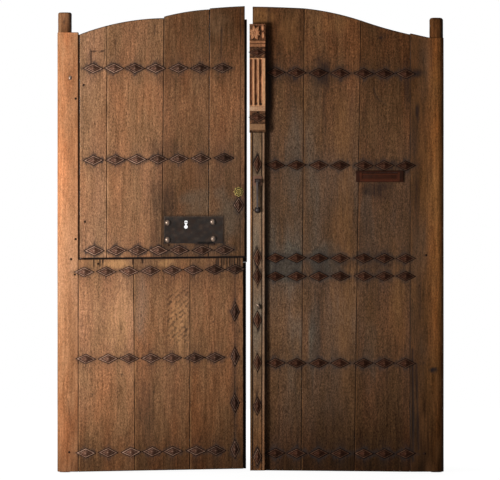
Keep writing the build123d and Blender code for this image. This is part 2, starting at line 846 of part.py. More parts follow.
# Brass cylinder with its turning plug, and the latch case that it reaches behind the batten
with BuildPart() as cylinder_rose:
    with BuildSketch(at_depth(0)):
        with Locations((cylinder_x, cylinder_z)):
            Circle(rose_radius)
    extrude(amount=rose_thickness)
    chamfer(cylinder_rose.faces().sort_by(Axis.Y)[0].edges(), length=rose_thickness / 2)
    with BuildSketch(at_depth(stile_depth)):
        with Locations((cylinder_x, cylinder_z)):
            Circle(barrel_radius)
    extrude(amount=stile_depth)
    with BuildSketch(at_depth(plug_length - rose_thickness + barrel_clearance)):
        with Locations((cylinder_x, cylinder_z)):
            Circle(plug_radius + running_clearance)
    extrude(amount=plug_length + overrun, mode=Mode.SUBTRACT)
write(cylinder_rose.part, "cylinder_rose")

with BuildPart() as cylinder_plug:
    with BuildSketch(at_depth(plug_length - rose_thickness)):
        with Locations((cylinder_x, cylinder_z)):
            Circle(plug_radius)
    extrude(amount=plug_length + plug_proud)
    with BuildSketch(at_depth(plug_slot_depth - rose_thickness)):
        with Locations((cylinder_x, cylinder_z)):
            Rectangle(plug_slot_width, plug_slot_height)
    extrude(amount=plug_slot_depth + plug_proud, mode=Mode.SUBTRACT)
write(cylinder_plug.part, "cylinder_plug")

latch_right = hatch_batten_right - latch_case_margin
with BuildPart() as latch_case:
    with BuildSketch(at_depth(stile_depth + latch_case_depth)):
        with Locations((latch_right - latch_case_width / 2, cylinder_z)):
            RectangleRounded(latch_case_width, latch_case_height, latch_case_round)
    extrude(amount=latch_case_depth)
    chamfer(latch_case.faces().sort_by(Axis.Y)[-1].edges(), length=latch_case_round / 2)
write(latch_case.part, "latch_case")

# Strap hinges: a plate with an upright pin on the stile, and a strap with a rolled eye on the hatch
for name, shares in (("upper", hatch_row_height_shares[0]), ("lower", hatch_row_height_shares[-1])):
    eye_bottom = row_middle(shares) - hinge_eye_height / 2
    eye_middle = row_middle(shares)
    axis_y = hinge_axis_depth - centre_depth
    stile_back = stile_depth - centre_depth
    with BuildPart() as strap:
        with BuildSketch(at_depth(stile_depth + strap_thickness)):
            with BuildLine():
                Polyline(
                    (hinge_axis_x, eye_middle - strap_width / 2),
                    (hinge_axis_x + strap_length, eye_middle - strap_width * strap_tip_share / 2),
                    (hinge_axis_x + strap_length, eye_middle + strap_width * strap_tip_share / 2),
                    (hinge_axis_x, eye_middle + strap_width / 2),
                    close=True,
                )
            make_face()
        extrude(amount=strap_thickness)
        with BuildSketch(Plane.XY.offset(eye_bottom)):
            with Locations((hinge_axis_x, axis_y)):
                Circle(hinge_eye_radius)
        extrude(amount=hinge_eye_height)
        with BuildSketch(Plane.XY.offset(eye_bottom)):
            with Locations((hinge_axis_x, axis_y)):
                Circle(hinge_pin_radius + running_clearance)
        extrude(amount=hinge_eye_height, mode=Mode.SUBTRACT)
    write(strap.part, f"hinge_strap_{name}")
    lug_top = eye_bottom - hinge_clearance
    plate_right = left_stile_face - hinge_eye_radius - hinge_clearance
    with BuildPart() as pintle:
        with BuildSketch(at_depth(stile_depth + pintle_plate_thickness)):
            with Locations((plate_right - pintle_plate_width / 2, lug_top)):
                Rectangle(pintle_plate_width, pintle_plate_height)
        extrude(amount=pintle_plate_thickness)
        with BuildSketch(Plane.XY.offset(lug_top - lug_height)):
            with BuildLine():
                Polyline(
                    (plate_right - lug_radius, stile_back),
                    (plate_right, stile_back),
                    (hinge_axis_x, axis_y - lug_radius),
                    (hinge_axis_x, axis_y + lug_radius),
                    (plate_right - lug_radius, axis_y + lug_radius),
                    close=True,
                )
            make_face()
            with Locations((hinge_axis_x, axis_y)):
                Circle(lug_radius)
        extrude(amount=lug_height)
        with BuildSketch(Plane.XY.offset(lug_top)):
            with Locations((hinge_axis_x, axis_y)):
                Circle(hinge_pin_radius)
        extrude(amount=hinge_eye_height + hinge_clearance + pin_head_rise)
        chamfer(pintle.edges().sort_by(Axis.Z)[-1], length=hinge_pin_radius / 4)
    write(pintle.part, f"hinge_pintle_{name}")

# Knocker: a forged hammer that hangs by its eye from a staple, over an iron striker
knocker_y = -knocker_axis_depth - centre_depth
staple_depth = -astragal_thickness
cheek_half = knocker_eye_width / 2 + cheek_gap
with BuildPart() as staple:
    with BuildSketch(at_depth(staple_depth)):
        with Locations((astragal_x, knocker_z)):
            RectangleRounded(staple_plate_width, staple_plate_height, letter_plate_round)
    extrude(amount=staple_plate_thickness)
    for side in (-1, 1):
        with BuildSketch(Plane.YZ.offset(astragal_x + side * (cheek_half + cheek_thickness / 2))):
            with Locations((knocker_y, knocker_z)):
                Circle(cheek_radius)
            with Locations((knocker_y + knocker_standoff / 2, knocker_z)):
                Rectangle(knocker_standoff, 2 * cheek_radius)
        extrude(amount=cheek_thickness / 2, both=True)
    with BuildSketch(Plane.YZ.offset(astragal_x)):
        with Locations((knocker_y, knocker_z)):
            Circle(knocker_pin_radius)
    extrude(amount=cheek_half, both=True)
write(staple.part, "knocker_staple")

knob_z = knocker_z - hammer_length
with BuildPart() as hammer:
    with BuildSketch(Plane.YZ.offset(astragal_x)):
        with Locations((knocker_y, knocker_z)):
            Circle(knocker_eye_radius)
    extrude(amount=knocker_eye_width / 2, both=True)
    for height, radius in ((knocker_z, hammer_top_radius), (knob_z, hammer_foot_radius)):
        with BuildSketch(Plane.XY.offset(height)):
            with Locations((astragal_x, knocker_y)):
                Circle(radius)
    loft()
    with Locations((astragal_x, knocker_y, knob_z)):
        Sphere(knob_radius)
    with BuildSketch(Plane.YZ.offset(astragal_x)):
        with Locations((knocker_y, knocker_z)):
            Circle(knocker_pin_radius + running_clearance)
    extrude(amount=knocker_eye_width, both=True, mode=Mode.SUBTRACT)
write(hammer.part, "knocker_hammer")

striker_rise = staple_plate_thickness + knocker_standoff - knob_radius - rest_clearance
with BuildPart() as striker:
    with BuildSketch(at_depth(staple_depth)):
        with Locations((astragal_x, knob_z)):
            Circle(striker_radius)
    extrude(amount=striker_rise)
    chamfer(striker.faces().sort_by(Axis.Y)[0].edges(), length=striker_rise / 2)
write(striker.part, "knocker_striker")

# Letter plate with its inward flap
with BuildPart() as letter_plate:
    with BuildSketch(at_depth(0)):
        with Locations((letter_plate_x, letter_plate_z)):
            RectangleRounded(letter_plate_width, letter_plate_height, letter_plate_round)
            Rectangle(window_width, window_height, mode=Mode.SUBTRACT)
    extrude(amount=letter_plate_thickness)
    outer_rim = letter_plate.faces().sort_by(Axis.Y)[0].outer_wire().edges()
    chamfer(outer_rim, length=letter_plate_thickness / 4)
    with BuildSketch(Plane.YZ.offset(letter_plate_x)):
        with Locations((-letter_plate_thickness / 2 - centre_depth, flap_axis_z)):
            Circle(trunnion_radius + running_clearance)
    extrude(amount=window_width / 2 + trunnion_length + flap_gap, both=True, mode=Mode.SUBTRACT)
write(letter_plate.part, "letter_plate")

flap_width = window_width - 2 * flap_gap
flap_bottom = letter_plate_z - window_height / 2 + flap_gap
flap_y = -letter_plate_thickness / 2 - centre_depth
with BuildPart() as letter_flap:
    with BuildSketch(Plane.YZ.offset(letter_plate_x)):
        with Locations((flap_y, flap_axis_z)):
            Circle(flap_barrel_radius)
        with Locations((flap_y, (flap_axis_z + flap_bottom) / 2)):
            Rectangle(flap_thickness, flap_axis_z - flap_bottom)
    extrude(amount=flap_width / 2, both=True)
    with BuildSketch(Plane.YZ.offset(letter_plate_x)):
        with Locations((flap_y, flap_axis_z)):
            Circle(trunnion_radius)
    extrude(amount=window_width / 2 + trunnion_length, both=True)
write(letter_flap.part, "letter_flap")
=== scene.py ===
"""Looks of a pair of studded plank door leaves: worn boards, forged studs, lock, knocker and letter plate."""

import logging
import math
from dataclasses import dataclass, field
from enum import Enum
from functools import cache
from typing import Callable, Iterable, Sequence

import bmesh
import bpy
import numpy as np
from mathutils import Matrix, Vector


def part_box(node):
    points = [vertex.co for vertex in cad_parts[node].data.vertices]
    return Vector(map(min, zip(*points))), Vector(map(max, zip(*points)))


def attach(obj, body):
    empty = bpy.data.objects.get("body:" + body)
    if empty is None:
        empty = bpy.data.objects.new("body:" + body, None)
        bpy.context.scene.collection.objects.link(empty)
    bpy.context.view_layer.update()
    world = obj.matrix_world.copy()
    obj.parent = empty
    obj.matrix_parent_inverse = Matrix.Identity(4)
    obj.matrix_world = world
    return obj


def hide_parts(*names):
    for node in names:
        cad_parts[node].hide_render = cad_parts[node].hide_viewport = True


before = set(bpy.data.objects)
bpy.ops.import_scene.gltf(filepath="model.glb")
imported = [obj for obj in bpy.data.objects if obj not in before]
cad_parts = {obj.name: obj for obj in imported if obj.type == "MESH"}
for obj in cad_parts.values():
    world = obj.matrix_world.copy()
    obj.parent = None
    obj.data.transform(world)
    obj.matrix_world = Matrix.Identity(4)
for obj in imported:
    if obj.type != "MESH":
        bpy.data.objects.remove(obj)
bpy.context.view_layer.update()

LOG = logging.getLogger("door_leaves")
MM = 0.001

Rgb = tuple[float, float, float]
Place = tuple[float, float, float]
Point = tuple[float, float]
Array = np.ndarray
Values = Array | float
Mesh = bpy.types.Mesh
Socket = bpy.types.NodeSocket

# Depths of the main faces along Y and the bore of the cylinder, in millimetres
PLANK_FRONT = -21.75
PLANK_BACK = 14.25
FRAMING_BACK = 56.25
ASTRAGAL_FRONT = -53.75
CAPITAL_FRONT = -71.75
BARREL_BORE = 14.3

# Numbers that stir a lattice point into a fixed pseudo-random value
KNOT_MIX = (127.1, 311.7, 74.7, 43758.5453)
# Least distance between two places of a grid, and a distance past every edge, in millimetres
CLOSEST = 0.4
FAR = 99.0
# Numbers of a Mix node's colour sockets
MIX_FACTOR, MIX_FIRST, MIX_SECOND, MIX_RESULT = 0, 6, 7, 2
# Degrees: faces that count as flat, edges that are worn round and edges that stay sharp
FLAT_ANGLE, WORN_ANGLE, SHARP_ANGLE = 1.5, 35.0, 32.0


class Grain(Enum):
    """Way the fibres of a piece of wood run."""

    UPRIGHT = "upright"
    ACROSS = "across"


class Bodies(Enum):
    """Moving bodies of the pair that the pieces ride on."""

    SILL = "sill_pins"
    LEFT = "left_leaf"
    HATCH = "hatch"
    BOLT = "bolt"
    PLUG = "plug"
    RIGHT = "right_leaf"
    KNOCKER = "knocker"
    FLAP = "flap"


# Small tools for surfaces


def waver(x: Array, z: Array, step_x: float, step_z: float, seed: float) -> Array:
    """Smooth uneven field between -1 and 1.

    Args:
        x: places across, in millimetres.
        z: places along, in millimetres.
        step_x: size of a swell across.
        step_z: size of a swell along.
        seed: fixed number that picks the field.

    Returns:
        The field's value at each place.
    """
    u, v = x / step_x, z / step_z
    i, j = np.floor(u), np.floor(v)
    f, g = u - i, v - j
    f, g = f * f * (3 - 2 * f), g * g * (3 - 2 * g)

    def knot(a: Array, b: Array) -> Array:
        """Fixed pseudo-random value at a lattice point."""
        across, along, pick, gain = KNOT_MIX
        return np.modf(np.sin(a * across + b * along + seed * pick) * gain)[0]

    low = knot(i, j) * (1 - f) + knot(i + 1, j) * f
    high = knot(i, j + 1) * (1 - f) + knot(i + 1, j + 1) * f
    return low * (1 - g) + high * g


def ramp(value: Array, start: float, end: float) -> Array:
    """Smooth step from 0 at start to 1 at end."""
    t = np.clip((value - start) / (end - start), 0, 1)
    return t * t * (3 - 2 * t)


def ease(distance: Array, radius: Array | float) -> Array:
    """Drop of a rounded edge at a distance from that edge."""
    inside = np.clip(radius - distance, 0, radius)
    return radius - np.sqrt(np.maximum(radius**2 - inside**2, 0))


def spread(length: float, step: float, near: Sequence[float], extra: Iterable[float] = ()) -> Array:
    """Places along an edge, close together at both ends and at an even step between.

    Args:
        length: length of the edge.
        step: distance between places in the middle.
        near: distances of the extra places at each end.
        extra: further places wanted along the edge.

    Returns:
        The places in order, from 0 to length.
    """
    count = max(2, int(length / step))
    places = [0.0, length, *near, *(length - n for n in near)]
    places += list(np.linspace(near[-1], length - near[-1], count)[1:-1])
    places += [p for p in extra if 1 < p < length - 1]
    ordered: list[float] = []
    for place in sorted(places):
        if not ordered or place - ordered[-1] > CLOSEST:
            ordered.append(place)
    ordered[-1] = length
    return np.array(ordered)


def lattice(low: Point, high: Point, step: Point, near_x: Sequence[float],
            near_z: Sequence[float]) -> tuple[Array, Array]:
    """Grid of places between two corners, closer together along its edges.

    Args:
        low: lower left corner.
        high: upper right corner.
        step: distance between places across and along.
        near_x: distances of the extra places at each side.
        near_z: distances of the extra places at the foot and the head.

    Returns:
        Places across and heights, row by row from the foot.
    """
    u = low[0] + spread(high[0] - low[0], step[0], near_x)
    v = low[1] + spread(high[1] - low[1], step[1], near_z)
    x, z = np.meshgrid(u, v)
    return x, z


def from_rim(x: Array, z: Array, low: Point, high: Point) -> Array:
    """Distance of each place from the nearest side of the rectangle between two corners."""
    return np.minimum(np.minimum(x - low[0], high[0] - x), np.minimum(z - low[1], high[1] - z))


@dataclass
class Masks:
    """Weathering of a surface, point by point or even. In places the stain mask carries painted shade and
    shadows, and the tone and wear masks carry painted light and shade.
    """

    tone: Values = 1.0
    stain: Values = 0.0
    wear: Values = 0.0
    weather: Values = 0.0
    iron: Values = 0.0

    @classmethod
    def two_sided(cls, like: Array, *pairs: tuple[Values, Values]) -> "Masks":
        """Masks of a slab from the values on its front and on its back.

        Args:
            like: any grid of the slab's front.
            pairs: for each mask, in the order of the fields, its front and its back.

        Returns:
            The masks, all but the tone held between 0 and 1.
        """
        tone, *rest = (np.concatenate([np.broadcast_to(side, like.shape).ravel() for side in pair])
                       for pair in pairs)
        return cls(tone, *(np.clip(values, 0, 1) for values in rest))

    def write(self, mesh: Mesh) -> None:
        """Store the masks as attributes that the finishes read.

        Args:
            mesh: mesh that the masks belong to.
        """
        for name in ("tone", "stain", "wear", "weather", "iron"):
            layer = mesh.attributes.new(name, "FLOAT", "POINT")
            values = np.broadcast_to(getattr(self, name), len(mesh.vertices))
            layer.data.foreach_set("value", np.ascontiguousarray(values, dtype=np.float32))


def mesh_of(name: str, points: Array, faces: list, angle: float = 38.0) -> Mesh:
    """Mesh from points in millimetres, smooth except along its sharp edges.

    Args:
        name: name of the mesh.
        points: rows of x, y, z in millimetres.
        faces: point numbers of each face.
        angle: angle in degrees from which an edge stays sharp.

    Returns:
        The new mesh, in metres.
    """
    mesh = bpy.data.meshes.new(name)
    mesh.from_pydata((np.asarray(points) * MM).tolist(), [], faces)
    mesh.shade_smooth()
    mesh.set_sharp_from_angle(angle=math.radians(angle))
    mesh.update()
    return mesh


def grid_faces(rows: int, columns: int, start: int, turned: bool) -> Array:
    """Quads of a grid of points that are numbered row by row.

    Args:
        rows: number of rows of points.
        columns: number of points in a row.
        start: number of the first point.
        turned: whether the faces look the other way.

    Returns:
        Four point numbers for each face.
    """
    number = start + np.arange(rows * columns).reshape(rows, columns)
    quads = [number[:-1, :-1], number[:-1, 1:], number[1:, 1:], number[1:, :-1]]
    if turned:
        quads.reverse()
    return np.stack([q.ravel() for q in quads], axis=1)


def slab(name: str, x: Array, z: Array, front: Array, back: Array,
         back_x: Array | None = None) -> Mesh:
    """Closed board from a grid of front points and the back points behind them.

    Args:
        name: name of the mesh.
        x: places across, row by row from the foot.
        z: heights, row by row from the foot.
        front: depth of the front at each place.
        back: depth of the back at each place.
        back_x: places across on the back, where they differ.

    Returns:
        The closed mesh, its front points first.
    """
    rows, columns = x.shape
    behind = x if back_x is None else back_x
    points = np.concatenate([
        np.stack([x.ravel(), front.ravel(), z.ravel()], axis=1),
        np.stack([behind.ravel(), back.ravel(), z.ravel()], axis=1),
    ])
    half = rows * columns
    near = np.arange(half).reshape(rows, columns)
    far = near + half
    walls = []
    for a, b, turned in ((near[:, 0], far[:, 0], True), (near[:, -1], far[:, -1], False),
                         (near[0], far[0], False), (near[-1], far[-1], True)):
        wall = np.stack([a[:-1], b[:-1], b[1:], a[1:]], axis=1)
        walls.append(wall[:, ::-1] if turned else wall)
    faces = [grid_faces(rows, columns, 0, False), grid_faces(rows, columns, half, True), *walls]
    mesh = mesh_of(name, points, np.concatenate(faces).tolist())
    outward(mesh)
    return mesh


def outward(mesh: Mesh) -> None:
    """Turn every face of a closed mesh outwards.

    Args:
        mesh: mesh to turn.
    """
    work = bmesh.new()
    work.from_mesh(mesh)
    bmesh.ops.recalc_face_normals(work, faces=work.faces)
    work.to_mesh(mesh)
    work.free()


def tube(name: str, *skins: Array | Sequence, angle: float = 38.0, looped: bool = False) -> Mesh:
    """Closed skins through rings of points, each with two flat ends or its last ring joined to its first.

    Args:
        name: name of the mesh.
        skins: for each skin its rings, the points of a ring, and x, y, z in millimetres.
        angle: angle in degrees from which an edge stays sharp.
        looped: whether the last ring joins the first.

    Returns:
        The closed mesh.
    """
    points, faces, start = [], [], 0
    for skin in skins:
        rings = np.asarray(skin)
        count, around, _ = rings.shape
        number = start + np.arange(count * around).reshape(count, around)
        along = np.concatenate([number, number[:1]]) if looped else number
        ahead = np.roll(along, -1, axis=1)
        faces += np.stack([along[:-1], ahead[:-1], ahead[1:], along[1:]], axis=-1).reshape(-1, 4).tolist()
        if not looped:
            faces += [number[0, ::-1].tolist(), number[-1].tolist()]
        points.append(rings.reshape(-1, 3))
        start += count * around
    mesh = mesh_of(name, np.concatenate(points), faces, angle)
    outward(mesh)
    return mesh


def baked(obj: bpy.types.Object, name: str) -> Mesh:
    """Plain mesh of an object with its modifiers worked in; the object itself is removed.

    Args:
        obj: object to work from.
        name: name of the mesh.

    Returns:
        The mesh.
    """
    graph = bpy.context.evaluated_depsgraph_get()
    mesh = bpy.data.meshes.new_from_object(obj.evaluated_get(graph), depsgraph=graph)
    mesh.name = name
    obj.modifiers.clear()
    bpy.data.objects.remove(obj)
    return mesh


def shown(mesh: Mesh, name: str) -> bpy.types.Object:
    """Object for a mesh, linked into the scene at the origin."""
    obj = bpy.data.objects.new(name, mesh)
    bpy.context.scene.collection.objects.link(obj)
    return obj


def pierced(mesh: Mesh, cutter: Mesh) -> Mesh:
    """Mesh with the shape of a closed cutter taken out of it.

    Args:
        mesh: closed mesh to cut.
        cutter: closed mesh of the opening.

    Returns:
        The cut mesh.
    """
    tool = shown(cutter, "cutter")
    obj = shown(mesh, "cut_work")
    modifier = obj.modifiers.new("opening", "BOOLEAN")
    modifier.operation = "DIFFERENCE"
    modifier.solver = "EXACT"
    modifier.object = tool
    result = baked(obj, mesh.name)
    bpy.data.objects.remove(tool)
    return result


def add_piece(mesh: Mesh, name: str, body: Bodies, finish: "WoodFinish | MetalFinish",
              nodes: Sequence[str] = ()) -> None:
    """Finish a piece: give it its material and its body, and hide the nodes that it stands for.

    Args:
        mesh: finished mesh, in place.
        name: name of the piece.
        body: body that it moves with.
        finish: its finish.
        nodes: nodes of the frame that it replaces.
    """
    mesh.materials.clear()
    mesh.materials.append(material_of(finish))
    mesh.polygons.foreach_set("material_index", np.zeros(len(mesh.polygons), dtype=np.int32))
    piece = shown(mesh, name)
    if nodes:
        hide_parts(*nodes)
    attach(piece, body.value)
    LOG.info("%s: %d faces", name, len(mesh.polygons))


# Node trees


class Graph:
    """Short way to add nodes to a tree and join them."""

    def __init__(self, tree: bpy.types.NodeTree) -> None:
        """Keep the tree that is being built."""
        self.tree = tree

    def add(self, kind: str, inputs: dict | None = None, **settings: object) -> bpy.types.Node:
        """Add a node.

        Args:
            kind: type name of the node.
            inputs: sockets by name or number, each with a value or another node's socket.
            settings: properties of the node.

        Returns:
            The new node.
        """
        node = self.tree.nodes.new(kind)
        for key, value in settings.items():
            setattr(node, key, value)
        for key, value in (inputs or {}).items():
            if isinstance(value, Socket):
                self.tree.links.new(value, node.inputs[key])
            else:
                node.inputs[key].default_value = value
        return node

    def sum(self, operation: str, a: object, b: object) -> Socket:
        """Result of a Math node on two values."""
        return self.add("ShaderNodeMath", {0: a, 1: b}, operation=operation).outputs[0]

    def fit(self, value: Socket, low: float, high: float, to_low: float,
            to_high: float) -> Socket:
        """Value moved from one range to another and held inside it."""
        names = {"Value": value, "From Min": low, "From Max": high, "To Min": to_low, "To Max": to_high}
        return self.add("ShaderNodeMapRange", names, clamp=True).outputs["Result"]

    def blend(self, factor: object, a: object, b: object, kind: str = "MIX") -> Socket:
        """Colour between two others.

        Args:
            factor: share of the second colour.
            a: first colour.
            b: second colour.
            kind: way of blending.

        Returns:
            The colour.
        """
        node = self.add("ShaderNodeMix", data_type="RGBA", blend_type=kind)
        for index, value in ((MIX_FACTOR, factor), (MIX_FIRST, a), (MIX_SECOND, b)):
            if isinstance(value, Socket):
                self.tree.links.new(value, node.inputs[index])
            elif isinstance(value, tuple):
                node.inputs[index].default_value = (*value, 1.0)
            else:
                node.inputs[index].default_value = value
        return node.outputs[MIX_RESULT]

    def kept(self, name: str) -> Socket:
        """Value of an attribute that the geometry carries."""
        return self.add("GeometryNodeInputNamedAttribute", {"Name": name}).outputs[0]

    def mask(self, name: str) -> Socket:
        """Value of one of the surface's masks."""
        return self.add("ShaderNodeAttribute", attribute_name=name).outputs["Fac"]

    def noise(self, place: Socket, scale: Sequence[float], detail: float = 4.0,
              rough: float = 0.55) -> Socket:
        """Noise stretched by a scale along each axis."""
        moved = self.add("ShaderNodeMapping", {"Vector": place, "Scale": tuple(scale)}).outputs[0]
        names = {"Vector": moved, "Scale": 1.0, "Detail": detail, "Roughness": rough}
        return self.add("ShaderNodeTexNoise", names).outputs["Fac"]


def new_material(name: str) -> tuple[bpy.types.Material, Graph, bpy.types.Node]:
    """Empty material with its shader and a graph to build on.

    Args:
        name: name of the material.

    Returns:
        The material, its graph and its shader.
    """
    material = bpy.data.materials.new(name)
    material.use_nodes = True
    graph = Graph(material.node_tree)
    shader = material.node_tree.nodes["Principled BSDF"]
    return material, graph, shader


@dataclass(frozen=True)
class WoodFinish:
    """Old bare wood: streaked grain, flecks, grey weathering, pale wear, dark stains and blue-black ones from
    iron; in places the pale wear is a painted highlight, and the dark stain is painted shade and shadows.
    """

    name: str
    light: Rgb
    dark: Rgb
    grey: Rgb
    worn: Rgb
    stain: Rgb = (0.014, 0.010, 0.009)
    grain: Grain = Grain.UPRIGHT
    iron: Rgb = (0.021, 0.0185, 0.0195)
    warmth: Rgb = (1.16, 0.90, 0.74)
    dark_fleck: Rgb = (0.32, 0.28, 0.26)
    pale_fleck: Rgb = (1.6, 1.6, 1.55)
    fleck: float = 0.42
    relief: float = 0.58
    relief_depth: float = 0.003
    mottling: float = 0.34
    shine: float = 0.03

    def stretch(self, across: float, along: float) -> Place:
        """Scale that draws a pattern out along the grain."""
        if self.grain is Grain.UPRIGHT:
            return (across, across, along)
        return (along, across, across)

    def material(self) -> bpy.types.Material:
        """Build the finish as a node material.

        Returns:
            The material.
        """
        material, g, shader = new_material(self.name)
        place = g.add("ShaderNodeTexCoord").outputs["Object"]
        sway = g.noise(place, self.stretch(7.0, 1.6), 2.0)
        drift = g.add("ShaderNodeVectorMath", {0: g.sum("MULTIPLY", sway, 0.035), 1: (1.0, 1.0, 1.0)},
                      operation="MULTIPLY").outputs[0]
        place = g.add("ShaderNodeVectorMath", {0: place, 1: drift}, operation="ADD").outputs[0]
        broad = g.noise(place, self.stretch(10.0, 2.4), 3.0)
        streak = g.noise(place, self.stretch(92.0, 7.0), 6.0, 0.62)
        fibre = g.noise(place, self.stretch(300.0, 70.0), 4.0, 0.65)
        flecks = g.noise(place, self.stretch(180.0, 75.0), 3.0, 0.6)
        mottle = g.noise(place, self.stretch(200.0, 115.0), 2.0, 0.6)
        fleck = g.fit(flecks, 0.55, 0.65, 0.0, self.fleck)
        pale = g.fit(flecks, 0.46, 0.33, 0.0, 0.6 * self.fleck)
        colour = g.blend(g.fit(streak, 0.33, 0.67, 0.0, 1.0), self.dark, self.light)
        warm = g.blend(1.0, colour, self.warmth, "MULTIPLY")
        colour = g.blend(g.fit(broad, 0.40, 0.64, 0.0, 0.8), colour, warm)
        greyed = g.sum("MULTIPLY", g.fit(broad, 0.32, 0.68, 0.35, 1.35), g.mask("weather"))
        colour = g.blend(greyed, colour, self.grey)
        tone = g.sum("MULTIPLY", g.fit(fibre, 0.28, 0.72, 0.68, 1.32),
                     g.fit(broad, 0.25, 0.75, 0.90, 1.10))
        tone = g.sum("MULTIPLY", tone, g.fit(mottle, 0.30, 0.70, 1 - self.mottling, 1 + self.mottling))
        tone = g.sum("MULTIPLY", tone, g.mask("tone"))
        shade = g.add("ShaderNodeCombineColor", {"Red": g.sum("POWER", tone, 0.97), "Green": tone,
                                                 "Blue": g.sum("POWER", tone, 1.07)}).outputs[0]
        colour = g.blend(1.0, colour, shade, "MULTIPLY")
        worn = g.sum("MULTIPLY", g.fit(streak, 0.28, 0.62, 0.35, 1.0), g.mask("wear"))
        colour = g.blend(worn, colour, self.worn)
        colour = g.blend(fleck, colour, g.blend(1.0, colour, self.dark_fleck, "MULTIPLY"))
        colour = g.blend(pale, colour, g.blend(1.0, colour, self.pale_fleck, "MULTIPLY"))
        rusty = g.sum("MULTIPLY", g.fit(streak, 0.25, 0.75, 1.15, 0.8), g.mask("iron"))
        colour = g.blend(g.fit(rusty, 0.0, 1.0, 0.0, 1.0), colour, self.iron)
        soak = g.sum("MULTIPLY", g.fit(streak, 0.25, 0.75, 1.2, 0.75), g.mask("stain"))
        colour = g.blend(g.fit(soak, 0.0, 1.0, 0.0, 1.0), colour, self.stain)
        height = g.sum("ADD", g.sum("MULTIPLY", streak, 0.9), g.sum("MULTIPLY", fibre, 0.5))
        height = g.sum("ADD", height, g.sum("MULTIPLY", mottle, 0.5))
        height = g.sum("SUBTRACT", height, g.sum("MULTIPLY", fleck, 0.6))
        bump = g.add("ShaderNodeBump", {"Height": height, "Strength": self.relief,
                                        "Distance": self.relief_depth})
        g.tree.links.new(colour, shader.inputs["Base Color"])
        g.tree.links.new(g.fit(streak, 0.3, 0.7, 0.82, 0.62), shader.inputs["Roughness"])
        g.tree.links.new(bump.outputs[0], shader.inputs["Normal"])
        shader.inputs["Specular IOR Level"].default_value = self.shine
        return material


@dataclass(frozen=True)
class MetalFinish:
    """Worked metal with a dark skin, patches of rust or tarnish and bright worn edges; on studs and nails the
    bright parts are partly painted highlights, and the tone carries painted shade.
    """

    name: str
    skin: Rgb
    patch: Rgb
    bright: Rgb
    metallic: float = 0.7
    smooth: float = 0.34
    rough: float = 0.62
    patch_share: float = 0.55
    hammer: float = 0.45
    hammer_depth: float = 0.0016
    shine: float = 0.16

    def material(self) -> bpy.types.Material:
        """Build the finish as a node material.

        Returns:
            The material.
        """
        material, g, shader = new_material(self.name)
        place = g.add("ShaderNodeTexCoord").outputs["Object"]
        cloud = g.noise(place, (34.0, 34.0, 34.0), 5.0, 0.6)
        grit = g.noise(place, (420.0, 420.0, 420.0), 3.0, 0.6)
        blow = g.noise(place, (95.0, 95.0, 95.0), 2.0, 0.4)
        patch = g.fit(g.sum("ADD", cloud, g.sum("MULTIPLY", grit, 0.25)), 0.50, 0.78, 0.0, self.patch_share)
        patch = g.fit(g.sum("ADD", patch, g.mask("weather")), 0.0, 1.0, 0.0, 1.0)
        colour = g.blend(patch, self.skin, self.patch)
        shade = g.sum("MULTIPLY", g.fit(grit, 0.2, 0.8, 0.72, 1.28), g.mask("tone"))
        colour = g.blend(1.0, colour, shade, "MULTIPLY")
        worn = g.sum("MULTIPLY", g.fit(blow, 0.30, 0.62, 0.25, 1.0), g.mask("wear"))
        colour = g.blend(worn, colour, self.bright)
        height = g.sum("ADD", blow, g.sum("MULTIPLY", grit, 0.22))
        bump = g.add("ShaderNodeBump", {"Height": height, "Strength": self.hammer,
                                        "Distance": self.hammer_depth})
        dull = g.fit(cloud, 0.3, 0.75, self.smooth, self.rough)
        dull = g.sum("SUBTRACT", dull, g.sum("MULTIPLY", worn, 0.12))
        g.tree.links.new(colour, shader.inputs["Base Color"])
        g.tree.links.new(dull, shader.inputs["Roughness"])
        g.tree.links.new(bump.outputs[0], shader.inputs["Normal"])
        shader.inputs["Metallic"].default_value = self.metallic
        shader.inputs["Specular IOR Level"].default_value = self.shine
        return material


# The wood runs from the bright left stile to the dark right leaf and stile: partly the wood's own colour,
# partly painted falloff of the light from the left.
LEFT_STILE = WoodFinish("left_stile_oak", (0.50, 0.225, 0.105), (0.33, 0.135, 0.057), (0.42, 0.25, 0.15),
                        (0.60, 0.32, 0.16), fleck=0.25, relief=0.4)
HATCH = WoodFinish("hatch_oak", (0.308, 0.153, 0.073), (0.159, 0.075, 0.033), (0.224, 0.156, 0.108),
                   (0.41, 0.23, 0.12), mottling=0.40)
LOWER = WoodFinish("lower_oak", (0.306, 0.150, 0.070), (0.158, 0.075, 0.033), (0.227, 0.151, 0.103),
                   (0.43, 0.225, 0.092), mottling=0.40)
RIGHT = WoodFinish("right_oak", (0.164, 0.077, 0.0315), (0.079, 0.0355, 0.0146), (0.102, 0.080, 0.059),
                   (0.25, 0.112, 0.038), fleck=0.5, mottling=0.48)
RIGHT_STILE = WoodFinish("right_stile_oak", (0.190, 0.078, 0.022), (0.081, 0.033, 0.010), (0.100, 0.066, 0.042),
                         (0.26, 0.115, 0.045), relief=0.45)
FRAMING_ACROSS = WoodFinish("ledge_oak", (0.24, 0.135, 0.075), (0.13, 0.070, 0.038), (0.19, 0.145, 0.11),
                            (0.30, 0.19, 0.11), grain=Grain.ACROSS, relief=0.8)
FRAMING_UPRIGHT = WoodFinish("batten_oak", (0.22, 0.125, 0.07), (0.12, 0.065, 0.036), (0.18, 0.135, 0.10),
                             (0.30, 0.19, 0.11), relief=0.8)
ASTRAGAL = WoodFinish("astragal_oak", (0.227, 0.119, 0.054), (0.096, 0.046, 0.0185), (0.165, 0.126, 0.088),
                      (0.32, 0.18, 0.105))
